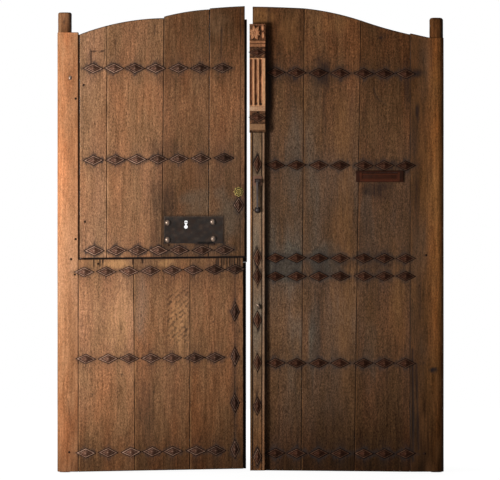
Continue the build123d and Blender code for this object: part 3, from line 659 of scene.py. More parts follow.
CAPITAL = WoodFinish("capital_oak", (0.36, 0.165, 0.078), (0.20, 0.083, 0.036), (0.26, 0.17, 0.11),
                     (0.50, 0.27, 0.135), stain=(0.016, 0.008, 0.005), fleck=0.3, relief=0.4)
STUD_IRON = MetalFinish("stud_iron", (0.024, 0.0105, 0.0065), (0.086, 0.034, 0.0195), (0.33, 0.205, 0.145),
                        metallic=0.0, smooth=0.46, rough=0.66, patch_share=0.3, shine=0.02)
STUD_RUST = MetalFinish("stud_rust", (0.011, 0.0055, 0.0035), (0.039, 0.0122, 0.0060), (0.14, 0.080, 0.050),
                        metallic=0.0, smooth=0.46, rough=0.66, patch_share=0.3, shine=0.02)
PLATE_IRON = MetalFinish("plate_iron", (0.0152, 0.0122, 0.0105), (0.030, 0.0155, 0.010), (0.10, 0.072, 0.052),
                         metallic=0.12, smooth=0.56, rough=0.76, shine=0.08)
NAIL_IRON = MetalFinish("nail_iron", (0.060, 0.034, 0.022), (0.045, 0.022, 0.013), (0.26, 0.175, 0.12),
                        metallic=0.4, smooth=0.26, rough=0.42, patch_share=0.4, hammer=0.15, shine=0.5)
FORGED_IRON = MetalFinish("forged_iron", (0.080, 0.074, 0.076), (0.075, 0.050, 0.040), (0.30, 0.28, 0.27),
                          metallic=0.7, smooth=0.36, rough=0.58)
OLD_BRASS = MetalFinish("old_brass", (0.20, 0.14, 0.038), (0.05, 0.036, 0.012), (0.38, 0.28, 0.085),
                        metallic=0.5, smooth=0.34, rough=0.58)
RED_PAINT = MetalFinish("red_paint", (0.082, 0.0200, 0.0084), (0.034, 0.0140, 0.0065), (0.15, 0.041, 0.022),
                        metallic=0.05, smooth=0.5, rough=0.7, hammer=0.25, shine=0.05)


@cache
def material_of(finish: WoodFinish | MetalFinish) -> bpy.types.Material:
    """Material of a finish, built once."""
    return finish.material()


# Marks of age on the boards, in millimetres in the frame's X and Z


@dataclass(frozen=True)
class Split:
    """Crack, groove or dark line that runs from one place to another."""

    start: Point
    end: Point
    width: float = 2.0
    depth: float = 2.5
    stain: float = 0.8

    def distance(self, x: Array, z: Array) -> Array:
        """Distance of each place from the line.

        Args:
            x: places across.
            z: heights.

        Returns:
            The distances.
        """
        ax, az = self.start
        dx, dz = self.end[0] - ax, self.end[1] - az
        t = np.clip(((x - ax) * dx + (z - az) * dz) / (dx * dx + dz * dz), 0, 1)
        return np.hypot(x - ax - t * dx, z - az - t * dz)


@dataclass(frozen=True)
class Spot:
    """Knot, hole or dark patch with a soft edge."""

    place: Point
    size: Point
    stain: float = 0.8
    depth: float = 0.0

    def cover(self, x: Array, z: Array, seed: float) -> Array:
        """Share of the patch at each place, with an uneven edge."""
        gap = np.hypot((x - self.place[0]) / self.size[0], (z - self.place[1]) / self.size[1])
        ragged = waver(x, z, 0.4 * self.size[0] + 4, 0.4 * self.size[1] + 6, seed)
        return ramp(gap + 0.25 * ragged, 1.25, 0.3)


@dataclass
class Studs:
    """Centres and half sizes of the studs on a leaf, which the iron stains follow."""

    places: list[tuple[float, float, float, float]] = field(default_factory=list)

    def add(self, centres: Array) -> None:
        """Add the studs of one node, with the half sizes that its solids have."""
        self.places.extend(map(tuple, centres))

    def stain(self, x: Array, z: Array, reach: float, strength: float) -> Array:
        """Dark iron stain round and below the studs.

        Args:
            x: places across.
            z: heights.
            reach: size of the halo as a multiple of the stud.
            strength: darkness next to the iron.

        Returns:
            Stain between 0 and 1 at each place.
        """
        total = np.zeros_like(x)
        rough = 1 + 0.28 * waver(x, z, 14, 30, 5.1)
        for sx, sz, half_x, half_z in self.places:
            dx, dz = np.abs(x - sx), z - sz
            close = (dx < 4 * half_x) & (np.abs(dz) < 8 * half_z)
            if not close.any():
                continue
            lozenge = (dx / half_x + 0.85 * np.abs(dz) / half_z) * rough
            halo = strength * ramp(lozenge, reach, 0.9)
            run = 0.30 * strength * np.exp(-((dx / (0.7 * half_x)) ** 2))
            run = run * ramp(np.abs(dz), 4.2 * half_z, half_z)
            total = np.maximum(total, np.where(close, np.maximum(halo, run), 0))
        return total


def stud_centres(node: str) -> Array:
    """Centres and half sizes of the separate solids in one node.

    Args:
        node: node of studs or nails.

    Returns:
        Rows of x, z, half width and half height, in millimetres.
    """
    work = bmesh.new()
    work.from_mesh(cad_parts[node].data)
    bmesh.ops.remove_doubles(work, verts=work.verts, dist=1e-6)
    left = set(work.verts)
    rows = []
    while left:
        group = [left.pop()]
        for vert in group:
            for edge in vert.link_edges:
                other = edge.other_vert(vert)
                if other in left:
                    left.remove(other)
                    group.append(other)
        co = np.array([v.co for v in group]) / MM
        low, high = co.min(0), co.max(0)
        middle, half = (low + high) / 2, (high - low) / 2
        rows.append((middle[0], middle[2], half[0], half[2]))
    work.free()
    rows.sort(key=lambda r: (round(-r[1], -2), r[0]))
    return np.array(rows)


# Shares of the height at which tones are given, for each field of boards and for the stiles
TONE_STOPS = {"hatch": (0.03, 0.29, 0.61, 0.92), "lower": (0.04, 0.31, 0.76, 0.98),
              "right": (0.02, 0.14, 0.33, 0.55, 0.76, 0.92)}
STILE_STOPS = (0.02, 0.17, 0.54, 0.85)


@dataclass
class Board:
    """One plank of a leaf, from its foot to its cut or arched top."""

    node: str
    foot_left: Point
    foot_right: Point
    top_left: Point
    top_middle: float
    top_right: Point
    tones: tuple[float, ...]
    weather: tuple[float, ...]
    marks: Sequence[Split] = ()
    spots: Sequence[Spot] = ()
    greys: Sequence[Spot] = ()
    lights: Sequence[Spot] = ()
    halo: float = 1.65
    soak: float = 0.8
    pocked: tuple[float, float, float, float] | None = None
    end_wear: float = 0.0
    edge_wear_and_highlight: float = 0.35
    joint: float = 0.5
    seed: float = 1.0
    step: Point = (5.5, 9.0)
    near: tuple[float, ...] = (1.2, 2.8, 5.0, 8.0)

    def grid(self) -> tuple[Array, Array, Array, Array]:
        """Places across and heights of the board's points, and the shares u and v of the way.

        Returns:
            The four grids x, z, u and v.
        """
        width = self.foot_right[0] - self.foot_left[0]
        height = self.top_middle - self.foot_left[1]
        wanted = []
        for mark in self.marks:
            if abs(mark.start[0] - mark.end[0]) < 12:
                share = (mark.start[0] + mark.end[0]) / 2 - self.foot_left[0]
                wanted += [share - 1.6 * mark.width, share, share + 1.6 * mark.width]
        level = [m.start[1] - self.foot_left[1] for m in self.marks if abs(m.start[1] - m.end[1]) < 6]
        rows = [place + shift for place in level for shift in (-3.0, 0.0, 3.0)]
        u = spread(width, self.step[0], self.near, wanted) / width
        v = spread(height, self.step[1], self.near, rows) / height
        u, v = np.meshgrid(u, v)
        foot = self.foot_left[1] + (self.foot_right[1] - self.foot_left[1]) * u
        low, middle, high = self.top_left[1], self.top_middle, self.top_right[1]
        top = low * (1 - u) * (1 - 2 * u) + middle * 4 * u * (1 - u) + high * u * (2 * u - 1)
        z = foot + (top - foot) * v
        left = self.foot_left[0] + (self.top_left[0] - self.foot_left[0]) * v
        right = self.foot_right[0] + (self.top_right[0] - self.foot_right[0]) * v
        return left + (right - left) * u, z, u, v

    def edges(self, u: Array, v: Array) -> tuple[Array, Array, Array, Array]:
        """Distances from the left, right, foot and top edges."""
        width = self.foot_right[0] - self.foot_left[0]
        height = self.top_middle - self.foot_left[1]
        return u * width, (1 - u) * width, v * height, (1 - v) * height

    def pits(self, x: Array, z: Array) -> Array:
        """Small pits in the pocked part of the board, 1 where they are deepest.

        Args:
            x: places across.
            z: heights.

        Returns:
            The pits.
        """
        if self.pocked is None:
            return np.zeros_like(x)
        x0, x1, z0, z1 = self.pocked
        seed = self.seed
        area = ramp(x, x0, x0 + 50) * ramp(x, x1, x1 - 20) * ramp(z, z0, z0 + 90) * ramp(z, z1, z1 - 60)
        aside, along = 6 * waver(x, z, 61, 47, seed + 14), 9 * waver(x, z, 53, 67, seed + 15)
        pits = ramp(waver(x + aside, z + along, 8, 12, seed + 8), 0.05, 0.4) * area
        return pits * np.clip(0.9 + 0.4 * waver(x, z, 33, 39, seed + 16), 0, 1)

    def build(self, studs: Studs) -> tuple[Mesh, Masks]:
        """Mesh of the worn board and its masks.

        Args:
            studs: studs of the leaf, for the iron stains.

        Returns:
            The closed mesh and the masks of its points.
        """
        x, z, u, v = self.grid()
        left, right, foot, top = self.edges(u, v)
        seed = self.seed
        radius = 2.2 + 0.9 * waver(x, z, 900, 70, seed + 3)
        end_radius = 2.6 + 1.2 * waver(x, z, 60, 900, seed + 4)
        sink = ease(np.minimum(left, right), radius) + ease(np.minimum(foot, top), end_radius)
        sink = sink + 0.9 + 0.9 * waver(x, z, 75, 420, seed) + 0.45 * waver(x, z, 13, 150, seed + 1)
        stain = np.zeros_like(x)
        for mark in self.marks:
            gap = mark.distance(x, z)
            sink = sink + mark.depth * np.exp(-((gap / mark.width) ** 2))
            stain = np.maximum(stain, mark.stain * np.exp(-((gap / (1.5 * mark.width)) ** 2)))
        for spot in self.spots:
            stain = np.maximum(stain, spot.stain * spot.cover(x, z, seed))
            sink = sink + spot.depth * spot.cover(x, z, seed)
        pits = self.pits(x, z)
        sink = sink + 1.8 * pits
        stain = np.maximum(stain, 0.6 * pits)
        crack_line = ramp(np.minimum(left, right), 3.0, 0.3)
        stain = np.maximum(stain, self.joint * crack_line * (0.8 + 0.5 * waver(x, z, 900, 90, seed + 5)))
        stain = np.maximum(stain, 0.85 * ramp(np.minimum(foot, top), 5.5, 1.0))
        iron = studs.stain(x, z, self.halo, self.soak)
        # Pale line along the left edge of each board: partly wear, partly a painted highlight on the bevel that
        # faces the light.
        wear = self.edge_wear_and_highlight * ramp(np.abs(left - 4.5), 4.0, 0.5)
        wear = wear * (0.6 + 0.5 * waver(x, z, 300, 60, seed + 6))
        head_wear = self.end_wear * ramp(top, 52, 30) * (0.75 + 0.35 * waver(x, z, 22, 80, seed + 7))
        wear = np.maximum(wear, head_wear)
        # Tone from the board's table by height: partly the wood's own colour, partly painted falloff of the
        # light from the left.
        stops = TONE_STOPS[self.node.split("_")[0]]
        tone = np.interp(v, stops, self.tones)
        tone = tone * (1 + 0.10 * waver(x, z, 90, 330, seed + 9) + 0.05 * waver(x, z, 26, 240, seed + 10))
        weather = np.interp(v, stops, self.weather) * (1 + 0.5 * waver(x, z, 110, 380, seed + 11))
        for spot in self.greys:
            weather = np.maximum(weather, spot.stain * spot.cover(x, z, seed))
        for spot in self.lights:
            wear = np.maximum(wear, spot.stain * spot.cover(x, z, seed + 2))
        lean = (0.9 + 0.9 * waver(x, z, 900, 45, seed + 12)) * (ramp(left, 12, 0) - ramp(right, 12, 0))
        back = PLANK_BACK - 0.6 - 0.6 * waver(x, z, 80, 60, seed + 13)
        mesh = slab(self.node, x + lean, z, PLANK_FRONT + np.maximum(sink, 0), back, x)
        return mesh, Masks.two_sided(x, (tone, 0.8), (stain, 0.25 * crack_line), (wear, 0.0), (weather, 0.7),
                                     (iron, 0.0))


@dataclass
class Stile:
    """Pivot stile with a half-round outer edge, its pintle above and its bore below."""

    node: str
    side: int
    axis_x: float
    face: float
    face_top: float
    seat: float
    pintle_top: float
    tones: tuple[float, ...]
    outer_tones: tuple[float, ...]
    pintle_tone: float = 0.5
    outer_weather: float = 0.1
    inner_weather: float = 0.3
    bleach: float = 0.0
    spots: Sequence[Spot] = ()
    marks: Sequence[Split] = ()
    soak: float = 0.45
    seed: float = 20.0
    foot: float = 3.0
    half_depth: float = 39.0
    pintle_radius: float = 36.0
    pintle_round: float = 9.0
    bore_radius: float = 14.05
    bore_top: float = 63.0
    recess_radius: float = 29.0
    recess_top: float = 12.0
    margin: float = 50.0
    tongue: Place | None = None
    tongue_front: float = -5.7
    tongue_step: float = 26.0

    @property
    def axis_y(self) -> float:
        """Depth of the axis that the leaf turns on."""
        return PLANK_FRONT + self.half_depth

    @property
    def reach(self) -> float:
        """Distance from the axis to the face that meets the boards."""
        return abs(self.face - self.axis_x)

    def section(self) -> tuple[Array, Array]:
        """Outline of the stile about its axis, and the outward way at each point.

        Returns:
            The points and the ways.
        """
        half = self.half_depth
        along = spread(self.reach, 6.0, (1.2, 3.0, 6.0))
        deep = spread(2 * half, 9.0, (1.5, 4.0))[1:-1] - half
        turn = np.radians(np.linspace(90, 270, 27))[1:-1]
        points = [(a, -half, 0.0, -1.0) for a in along]
        points += [(self.reach, d, 1.0, 0.0) for d in deep]
        points += [(a, half, 0.0, 1.0) for a in along[::-1]]
        points += [(half * math.cos(t), half * math.sin(t), math.cos(t), math.sin(t)) for t in turn]
        outline = np.array(points)
        outline[:, 0] *= -self.side
        outline[:, 2] *= -self.side
        if self.side > 0:
            outline = outline[::-1]
        return outline[:, :2], outline[:, 2:]

    def ring(self, ways: Array, radius: Values, height: float) -> Array:
        """Ring about the axis at one height, with a point along each of the ways."""
        x, y = self.axis_x + radius * ways[:, 0], self.axis_y + radius * ways[:, 1]
        return np.stack([x, y, np.full(len(ways), height)], axis=1)

    def shell(self, outline: Array, normal: Array, edge: Array) -> Array:
        """Rings of the stile's one skin, from the bore up to the pintle.

        Args:
            outline: outline of the stile about its axis.
            normal: outward way at each point of it.
            edge: distance of each point from the corner with the boards.

        Returns:
            The rings, each with as many points as the outline.
        """
        ways = outline / np.linalg.norm(outline, axis=1, keepdims=True)
        x_out = self.axis_x + outline[:, 0]
        rings = [self.ring(ways, radius, height) for radius, height in (
            (self.bore_radius, self.bore_top), (self.bore_radius, self.recess_top),
            (self.recess_radius, self.recess_top), (self.recess_radius, self.foot))]
        fall = np.clip(np.abs(x_out - self.face) / max(1.0, self.reach - self.margin), 0, 1)
        top = self.face_top + (self.seat - self.face_top) * fall
        tall = self.seat - self.foot
        long_way = np.cumsum(np.full(len(outline), 6.0))
        held = np.where(outline[:, 0] * self.side > 1.0, 0.3, 1.0)
        for row in spread(tall, 9.0, (1.5, 4.0, 8.0)) / tall:
            z = self.foot + (top - self.foot) * row
            sink = 0.8 + 0.8 * waver(long_way, z, 60, 380, self.seed)
            sink = sink + 0.4 * waver(long_way, z, 12, 140, self.seed + 1)
            sink = sink + ease(edge, 3.5) + ease(np.minimum(z - self.foot, top - z), 4.0)
            for mark in self.marks:
                cut = mark.depth * np.exp(-((mark.distance(x_out, z) / mark.width) ** 2))
                sink = sink + np.where(normal[:, 1] < -0.5, cut, 0)
            moved = outline - normal * (held * np.maximum(sink, 0))[:, None]
            rings.append(np.stack([self.axis_x + moved[:, 0], self.axis_y + moved[:, 1], z], axis=1))
        for height in np.linspace(0.3, self.pintle_top - self.seat - self.pintle_round, 12):
            wobble = 1 - 0.012 - 0.012 * waver(long_way, np.full(len(ways), height), 40, 30, self.seed + 2)
            rings.append(self.ring(ways, self.pintle_radius * wobble, self.seat + height))
        for turn in np.radians((20, 40, 60, 75, 88)):
            radius = self.pintle_radius - self.pintle_round * (1 - math.cos(turn))
            height = self.pintle_top - self.pintle_round * (1 - math.sin(turn))
            rings.append(self.ring(ways, radius - 0.6, height))
        rings.append(self.ring(ways, 6.0, self.pintle_top - 1.0))
        return np.array(rings)

    def tongue_skins(self) -> list:
        """Rings of the strip that closes the gap to the hatch, and of the short step at its foot.

        Returns:
            The rings of each skin.
        """
        if self.tongue is None:
            return []
        edge_x, low, high = self.tongue
        near, front, back = self.face - 1.0, self.tongue_front, PLANK_BACK - 0.2
        skins = []
        for far, ends in ((edge_x, (low, high)), (self.face + self.tongue_step, (low - 10.0, low + 5.35))):
            corners = ((near, front), (far, front), (far, back), (near, back))
            skins.append([[(x, y, z) for x, y in corners] for z in ends])
        return skins

    def masks(self, skin: Array, normal: Array, edge: Array, studs: Studs, more: int) -> Masks:
        """Masks of the skin, and even ones for the tongue's points after it.

        Args:
            skin: rings of the skin.
            normal: outward way at each point of a ring.
            edge: distance of each point of a ring from the corner with the boards.
            studs: studs of the leaf, for the iron stains.
            more: number of the tongue's points.

        Returns:
            The masks of all points.
        """
        x, z = skin[..., 0], skin[..., 2]
        seed, above = self.seed, z > self.seat + 0.1
        front = np.broadcast_to(ramp(-normal[:, 1], 0.2, 0.8), x.shape)
        stain = np.zeros_like(x)
        for mark in self.marks:
            line = np.exp(-((mark.distance(x, z) / (1.6 * mark.width)) ** 2))
            stain = np.maximum(stain, front * mark.stain * line)
        for spot in self.spots:
            stain = np.maximum(stain, front * spot.stain * spot.cover(x, z, seed))
        stain = np.maximum(stain, 0.8 * np.broadcast_to(ramp(edge, 4.5, 0.5), x.shape))
        stain = np.maximum(stain, np.where(z < self.foot + 1, 0.5, 0))
        share = np.clip((z - self.foot) / (self.seat - self.foot), 0, 1)
        outer = ramp(np.abs(x - self.face), 0.45 * self.reach, 0.95 * self.reach)
        tone = np.interp(share, STILE_STOPS, self.tones) * (1 - outer)
        tone = tone + np.interp(share, STILE_STOPS, self.outer_tones) * outer
        tone = np.where(above, self.pintle_tone, tone) * (1 + 0.10 * waver(x, z, 40, 260, seed + 4))
        # Painted shade on the right side of the round pintle, as if lit from the left.
        shade = ramp(x - self.axis_x, 0.35 * self.pintle_radius, 0.95 * self.pintle_radius)
        stain = np.maximum(stain, 0.9 * np.where(above, shade, 0))
        # Painted shade on the right stile's round outer edge.
        if self.side > 0:
            shade = ramp(x - self.axis_x, 0.58 * self.half_depth, 0.97 * self.half_depth)
            stain = np.maximum(stain, 0.85 * shade)
        weather = self.inner_weather + (self.outer_weather - self.inner_weather) * outer
        weather = weather + self.bleach * np.exp(-(((share - 0.44) / 0.16) ** 2))
        weather = weather * (1 + 0.5 * waver(x, z, 50, 300, seed + 5))
        wear = np.where(z > self.seat, 0.15, 0.10) * (1 + waver(x, z, 25, 120, seed + 6))
        iron = front * studs.stain(x, z, 1.7, self.soak)
        pairs = ((tone, 0.35), (np.clip(stain, 0, 1), 0.8), (np.clip(wear, 0, 1), 0.0),
                 (np.clip(weather, 0, 1), 0.0), (iron, 0.0))
        return Masks(*(np.append(values.ravel(), np.full(more, even)) for values, even in pairs))

    def build(self, studs: Studs) -> tuple[Mesh, Masks]:
        """Mesh of the stile in one skin, with its tongue, and its masks.

        Args:
            studs: studs of the leaf, for the iron stains.

        Returns:
            The closed mesh and the masks of its points.
        """
        outline, normal = self.section()
        inward = np.abs(self.axis_x + outline[:, 0] - self.face)
        edge = np.where(np.abs(normal[:, 1]) > 0.9, np.minimum(inward, FAR), FAR)
        skin = self.shell(outline, normal, edge)
        mesh = tube(self.node, skin, *self.tongue_skins())
        more = len(mesh.vertices) - skin[..., 0].size
        return mesh, self.masks(skin, normal, edge, studs, more)


@dataclass
class Leaf:
    """Boards and stile of one leaf, or the boards of the hatch in it."""

    body: Bodies
    boards: Sequence[Board]
    finish: WoodFinish
    slot: str
    stile: Stile | None = None
    stile_finish: WoodFinish | None = None
    stile_slot: str = ""
    cuts: dict[str, Sequence[Mesh]] = field(default_factory=dict)

    def build(self, studs: Studs) -> None:
        """Build every board, cut the openings through them and dress them.

        Args:
            studs: studs of the leaf, for the iron stains.
        """
        for board in self.boards:
            mesh, masks = board.build(studs)
            masks.write(mesh)
            for cutter in self.cuts.get(board.node, ()):
                mesh = pierced(mesh, cutter)
            add_piece(mesh, board.node + "_worn", self.body, self.finish, [board.node])
        if self.stile is not None and self.stile_finish is not None:
            mesh, masks = self.stile.build(studs)
            masks.write(mesh)
            add_piece(mesh, self.stile.node + "_worn", self.body, self.stile_finish,
                      [self.stile.node])


# Framing on the backs


@dataclass
class Framing:
    """Ledges and battens, adzed on the side that shows."""

    slot: str = "framing_wood"
    sunk_in: float = 1.4
    step: Point = (9.0, 9.0)
    near: tuple[float, ...] = (1.5, 4.0, 8.0)

    def build(self, node: str, body: Bodies, cutters: Sequence[Mesh] = ()) -> None:
        """Rough board in the place of a plain one.

        Args:
            node: node that it replaces.
            body: body that it rides on.
            cutters: openings to cut through it.
        """
        low, high = (np.array(v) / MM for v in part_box(node))
        across = high[0] - low[0] > high[2] - low[2]
        seed = 31.0 + low[0] * 0.013 + low[2] * 0.007
        corners = (low[0], low[2]), (high[0], high[2])
        x, z = lattice(*corners, self.step, self.near, self.near)
        edge = from_rim(x, z, *corners)
        size = (140, 22) if across else (22, 140)
        sink = ease(edge, 4.5) + 1.0 + 1.0 * waver(x, z, *size, seed)
        sink = sink + 0.7 * np.abs(waver(x, z, 46, 46, seed + 1))
        mesh = slab(node, x, z, np.full_like(x, low[1] - self.sunk_in), high[1] - np.maximum(sink, 0))
        tone = 1 + 0.16 * waver(x, z, *size, seed + 2)
        stain = 0.5 * ramp(edge, 6.0, 1.0)
        weather = 0.6 + 0.3 * waver(x, z, 160, 160, seed + 3)
        Masks.two_sided(x, (0.3 * tone, tone), (1.0, stain), (0.0, 0.0), (0.0, weather)).write(mesh)
        for cutter in cutters:
            mesh = pierced(mesh, cutter)
        finish = FRAMING_ACROSS if across else FRAMING_UPRIGHT
        add_piece(mesh, node + "_adzed", body, finish, [node])


# Studs and nails, set by Geometry Nodes


def setting_tree() -> bpy.types.NodeTree:
    """Tree that sets copies of one forged head on points, each a little different.

    Returns:
        The node tree.
    """
    tree = bpy.data.node_groups.new("set_forged_heads", "GeometryNodeTree")
    face = tree.interface
    face.new_socket("Points", in_out="INPUT", socket_type="NodeSocketGeometry")
    for name, kind in (("Head", "NodeSocketObject"), ("Size", "NodeSocketVector"), ("Turn", "NodeSocketFloat"),
                       ("Size Spread", "NodeSocketFloat"), ("Hammering", "NodeSocketFloat"),
                       ("Seed", "NodeSocketInt"), ("Finish", "NodeSocketMaterial")):
        face.new_socket(name, in_out="INPUT", socket_type=kind)
    face.new_socket("Heads", in_out="OUTPUT", socket_type="NodeSocketGeometry")
    g = Graph(tree)
    given = g.add("NodeGroupInput").outputs
    head = g.add("GeometryNodeObjectInfo", {"Object": given["Head"]}, transform_space="ORIGINAL")
    less = g.sum("MULTIPLY", given["Turn"], -1.0)
    low = g.add("ShaderNodeCombineXYZ", {"Y": less}).outputs[0]
    high = g.add("ShaderNodeCombineXYZ", {"Y": given["Turn"]}).outputs[0]
    turn = g.add("FunctionNodeRandomValue", data_type="FLOAT_VECTOR")
    size = g.add("FunctionNodeRandomValue", data_type="FLOAT")
    links = tree.links
    links.new(low, turn.inputs[0])
    links.new(high, turn.inputs[1])
    links.new(given["Seed"], turn.inputs["Seed"])
    links.new(g.sum("SUBTRACT", 1.0, given["Size Spread"]), size.inputs[2])
    links.new(g.sum("ADD", 1.0, given["Size Spread"]), size.inputs[3])
    links.new(g.sum("ADD", given["Seed"], 7.0), size.inputs["Seed"])
    scale = g.add("ShaderNodeVectorMath", {0: given["Size"], "Scale": size.outputs[1]}, operation="SCALE")
    copies = g.add("GeometryNodeInstanceOnPoints", {
        "Points": given["Points"], "Instance": head.outputs["Geometry"], "Rotation": turn.outputs[0],
        "Scale": scale.outputs[0]})
    real = g.add("GeometryNodeRealizeInstances", {"Geometry": copies.outputs[0]})
    # Each head's tone and wear are scaled by its shade: painted falloff of the light across the leaf, with
    # dirt.
    for name in ("tone", "wear"):
        shaded = g.sum("MULTIPLY", g.kept(name), g.kept("shade"))
        real = g.add("GeometryNodeStoreNamedAttribute",
                     {"Geometry": real.outputs[0], "Name": name, "Value": shaded})
    place = g.add("GeometryNodeInputPosition").outputs[0]
    blows = g.add("ShaderNodeTexNoise", {"Vector": place, "Scale": 46.0, "Detail": 1.0}).outputs["Color"]
    middle = g.add("ShaderNodeVectorMath", {0: blows, 1: (0.5, 0.5, 0.5)}, operation="SUBTRACT").outputs[0]
    shift = g.add("ShaderNodeVectorMath", {0: middle, "Scale": given["Hammering"]}, operation="SCALE")
    beaten = g.add("GeometryNodeSetPosition", {"Geometry": real.outputs[0], "Offset": shift.outputs[0]})
    dressed = g.add("GeometryNodeSetMaterial", {"Geometry": beaten.outputs[0], "Material": given["Finish"]})
    g.add("NodeGroupOutput", {"Heads": dressed.outputs[0]})
    return tree


@dataclass
class Setting:
    """Geometry Nodes tree and the heads that it sets."""

    tree: bpy.types.NodeTree

    def set(self, name: str, head: Mesh, places: Array, body: Bodies, finish: MetalFinish,
            slot: str, nodes: Sequence[str] = (), size: Place = (1.0, 1.0, 1.0), turn: float = 3.0,
            spread_share: float = 0.05, hammering: float = 1.6, seed: int = 11, shades: Values = 1.0) -> None:
        """Set copies of a head on points and bake them to one mesh.

        Args:
            name: name of the piece.
            head: mesh of one head, which faces -Y about the origin.
            places: points in millimetres.
            body: body that they ride on.
            finish: finish of the metal.
            slot: the record's material slot; not used.
            nodes: nodes that they replace.
            size: scale of the heads along X, Y and Z.
            turn: greatest turn either way, in degrees.
            spread_share: share by which sizes differ.
            hammering: unevenness in millimetres.
            seed: fixed seed of the small differences.
            shades: brightness of each head, which carries painted falloff of the light across a leaf.
        """
        points = bpy.data.meshes.new(name + "_places")
        points.from_pydata((np.asarray(places) * MM).tolist(), [], [])
        layer = points.attributes.new("shade", "FLOAT", "POINT")
        layer.data.foreach_set("value", np.full(len(places), shades, dtype=np.float32))
        carrier = bpy.data.objects.new(name + "_places", points)
        bpy.context.scene.collection.objects.link(carrier)
        pattern = shown(head, name + "_head")
        modifier = carrier.modifiers.new("set_heads", "NODES")
        modifier.node_group = self.tree
        given = {"Head": pattern, "Size": size, "Turn": math.radians(turn), "Size Spread": spread_share,
                 "Hammering": hammering * MM, "Seed": seed, "Finish": material_of(finish)}
        for item in self.tree.interface.items_tree:
            if item.name in given:
                modifier[item.identifier] = given[item.name]
        mesh = baked(carrier, name)
        bpy.data.objects.remove(pattern)
        add_piece(mesh, name, body, finish, nodes)


def lozenge_head(bright: float) -> Mesh:
    """Forged lozenge stud, one unit long and high: a flange, a bevelled rim, a sunk line and a boss.

    Args:
        bright: how far the rim is rubbed bright, and how strong the painted highlights on the left of the stud,
            on the ring round the boss and on its tip are.

    Returns:
        The stud's mesh, which faces -Y about the origin.
    """
    # Each level: share of the size, rise, rub with painted glints, rust and tone. The flange and the sunk lines
    # are dark: painted shade round the stud and in its grooves, with iron scale. The ring at 0.51 and the tip
    # carry painted glints.
    levels = ((1.09, 2.5, 0.0, 0.1, 0.22), (1.09, -0.6, 0.0, 0.1, 0.22), (1.0, -1.0, 0.0, 0.2, 0.25),
              (0.95, -2.4, 0.0, 0.3, 0.45),
              (0.91, -2.8, 1.0, 0.4, 1.0), (0.80, -3.4, 0.9, 0.6, 1.0), (0.76, -3.8, 0.05, 0.6, 0.5),
              (0.64, -5.4, 0.0, 0.9, 0.6), (0.60, -4.6, 0.0, 0.3, 0.28), (0.56, -5.0, 0.0, 0.4, 0.35),
              (0.51, -6.8, 0.95, 1.0, 1.0), (0.43, -8.0, 0.1, 1.0, 0.8), (0.24, -10.9, 0.12, 1.0, 0.85),
              (0.06, -12.9, 0.8, 1.0, 1.0))
    corners = np.array([(0.5, 0.0), (0.0, 0.5), (-0.5, 0.0), (0.0, -0.5)])
    rings, wear, red, tone = [], [], [], []
    for share, rise, rub_and_glint, rust, deep in levels:
        for side in range(4):
            a, b = corners[side], corners[(side + 1) % 4]
            for t in (0.0, 0.22, 0.5, 0.78):
                point = (a + (b - a) * t) * share
                rings.append((point[0], rise * MM, point[1]))
                # Painted shade: the right-hand half is darker, the boss most, and its highlights weaker.
                shaded = 1.0 if point[0] / share < 0.06 else 0.5 if share < 0.52 else 0.85
                wear.append(bright * rub_and_glint * shaded)
                red.append(rust)
                tone.append(deep * shaded)
    skin = np.array(rings).reshape(len(levels), 16, 3) / MM
    mesh = tube("lozenge_head", skin, angle=22.0)
    Masks(np.array(tone), 0.0, np.clip(wear, 0, 1), np.array(red)).write(mesh)
    return mesh


def domed_head(radius: float, rise: float, bright: float = 0.3, tone: float = 1.0) -> Mesh:
    """Round domed nail head that faces -Y, with a short skirt into what carries it.

    Args:
        radius: radius of the head.
        rise: height of the dome.
        bright: strength of the painted highlight on the left of the dome.
        tone: brightness of the metal.

    Returns:
        The head's mesh.
    """
    turns = np.radians(np.arange(0, 360, 20))
    steps = ((1.0, -2.0), (1.0, 0.12 * rise), (0.95, 0.38 * rise), (0.80, 0.68 * rise), (0.56, 0.88 * rise),
             (0.26, 0.98 * rise), (0.04, rise))
    skin = np.array([[(radius * share * math.cos(t), -height, radius * share * math.sin(t)) for t in turns]
                     for share, height in steps])
    mesh = tube("domed_head", skin, angle=50.0)
    # Painted light and shade: the left of the dome is lit and pale, the right dark.
    lit = ramp(skin[..., 0].ravel() / radius, 0.55, -0.15)
    wear = bright * lit * np.repeat([0.0, 0.0, 0.35, 0.7, 1.0, 1.0, 1.0], len(turns))
    Masks(tone * (0.2 + 0.8 * lit), wear=wear).write(mesh)
    return mesh


def bent_nail() -> Mesh:
    """Nail on the astragal, bent up and to the left, pale along the bend and the end: a painted highlight.

    Returns:
        The nail's mesh.
    """
    path = np.array([(44.0, 3.0, 854.0), (44.0, -9.0, 856.0), (43.0, -14.0, 862.0), (39.0, -15.5, 869.0),
                     (33.0, -13.0, 873.0), (27.0, -7.0, 871.0)]) + (0.0, ASTRAGAL_FRONT, 0.0)
    radii = (5.2, 5.2, 5.2, 5.0, 4.4, 2.8)
    turns = np.radians(np.arange(0, 360, 36))
    along = np.gradient(path, axis=0)
    along = along / np.linalg.norm(along, axis=1, keepdims=True)
    side = np.cross(along, (0.6, 0.0, 0.8))
    side = side / np.linalg.norm(side, axis=1, keepdims=True)
    up = np.cross(side, along)
    rings = [[p + r * (math.cos(t) * a + math.sin(t) * b) for t in turns]
             for p, r, a, b in zip(path, radii, side, up)]
    mesh = tube("bent_nail", np.array(rings), angle=50.0)
    # Painted highlight along the bend.
    Masks(wear=np.repeat((0.0, 0.0, 0.3, 0.9, 1.0, 0.6), len(turns))).write(mesh)
    return mesh


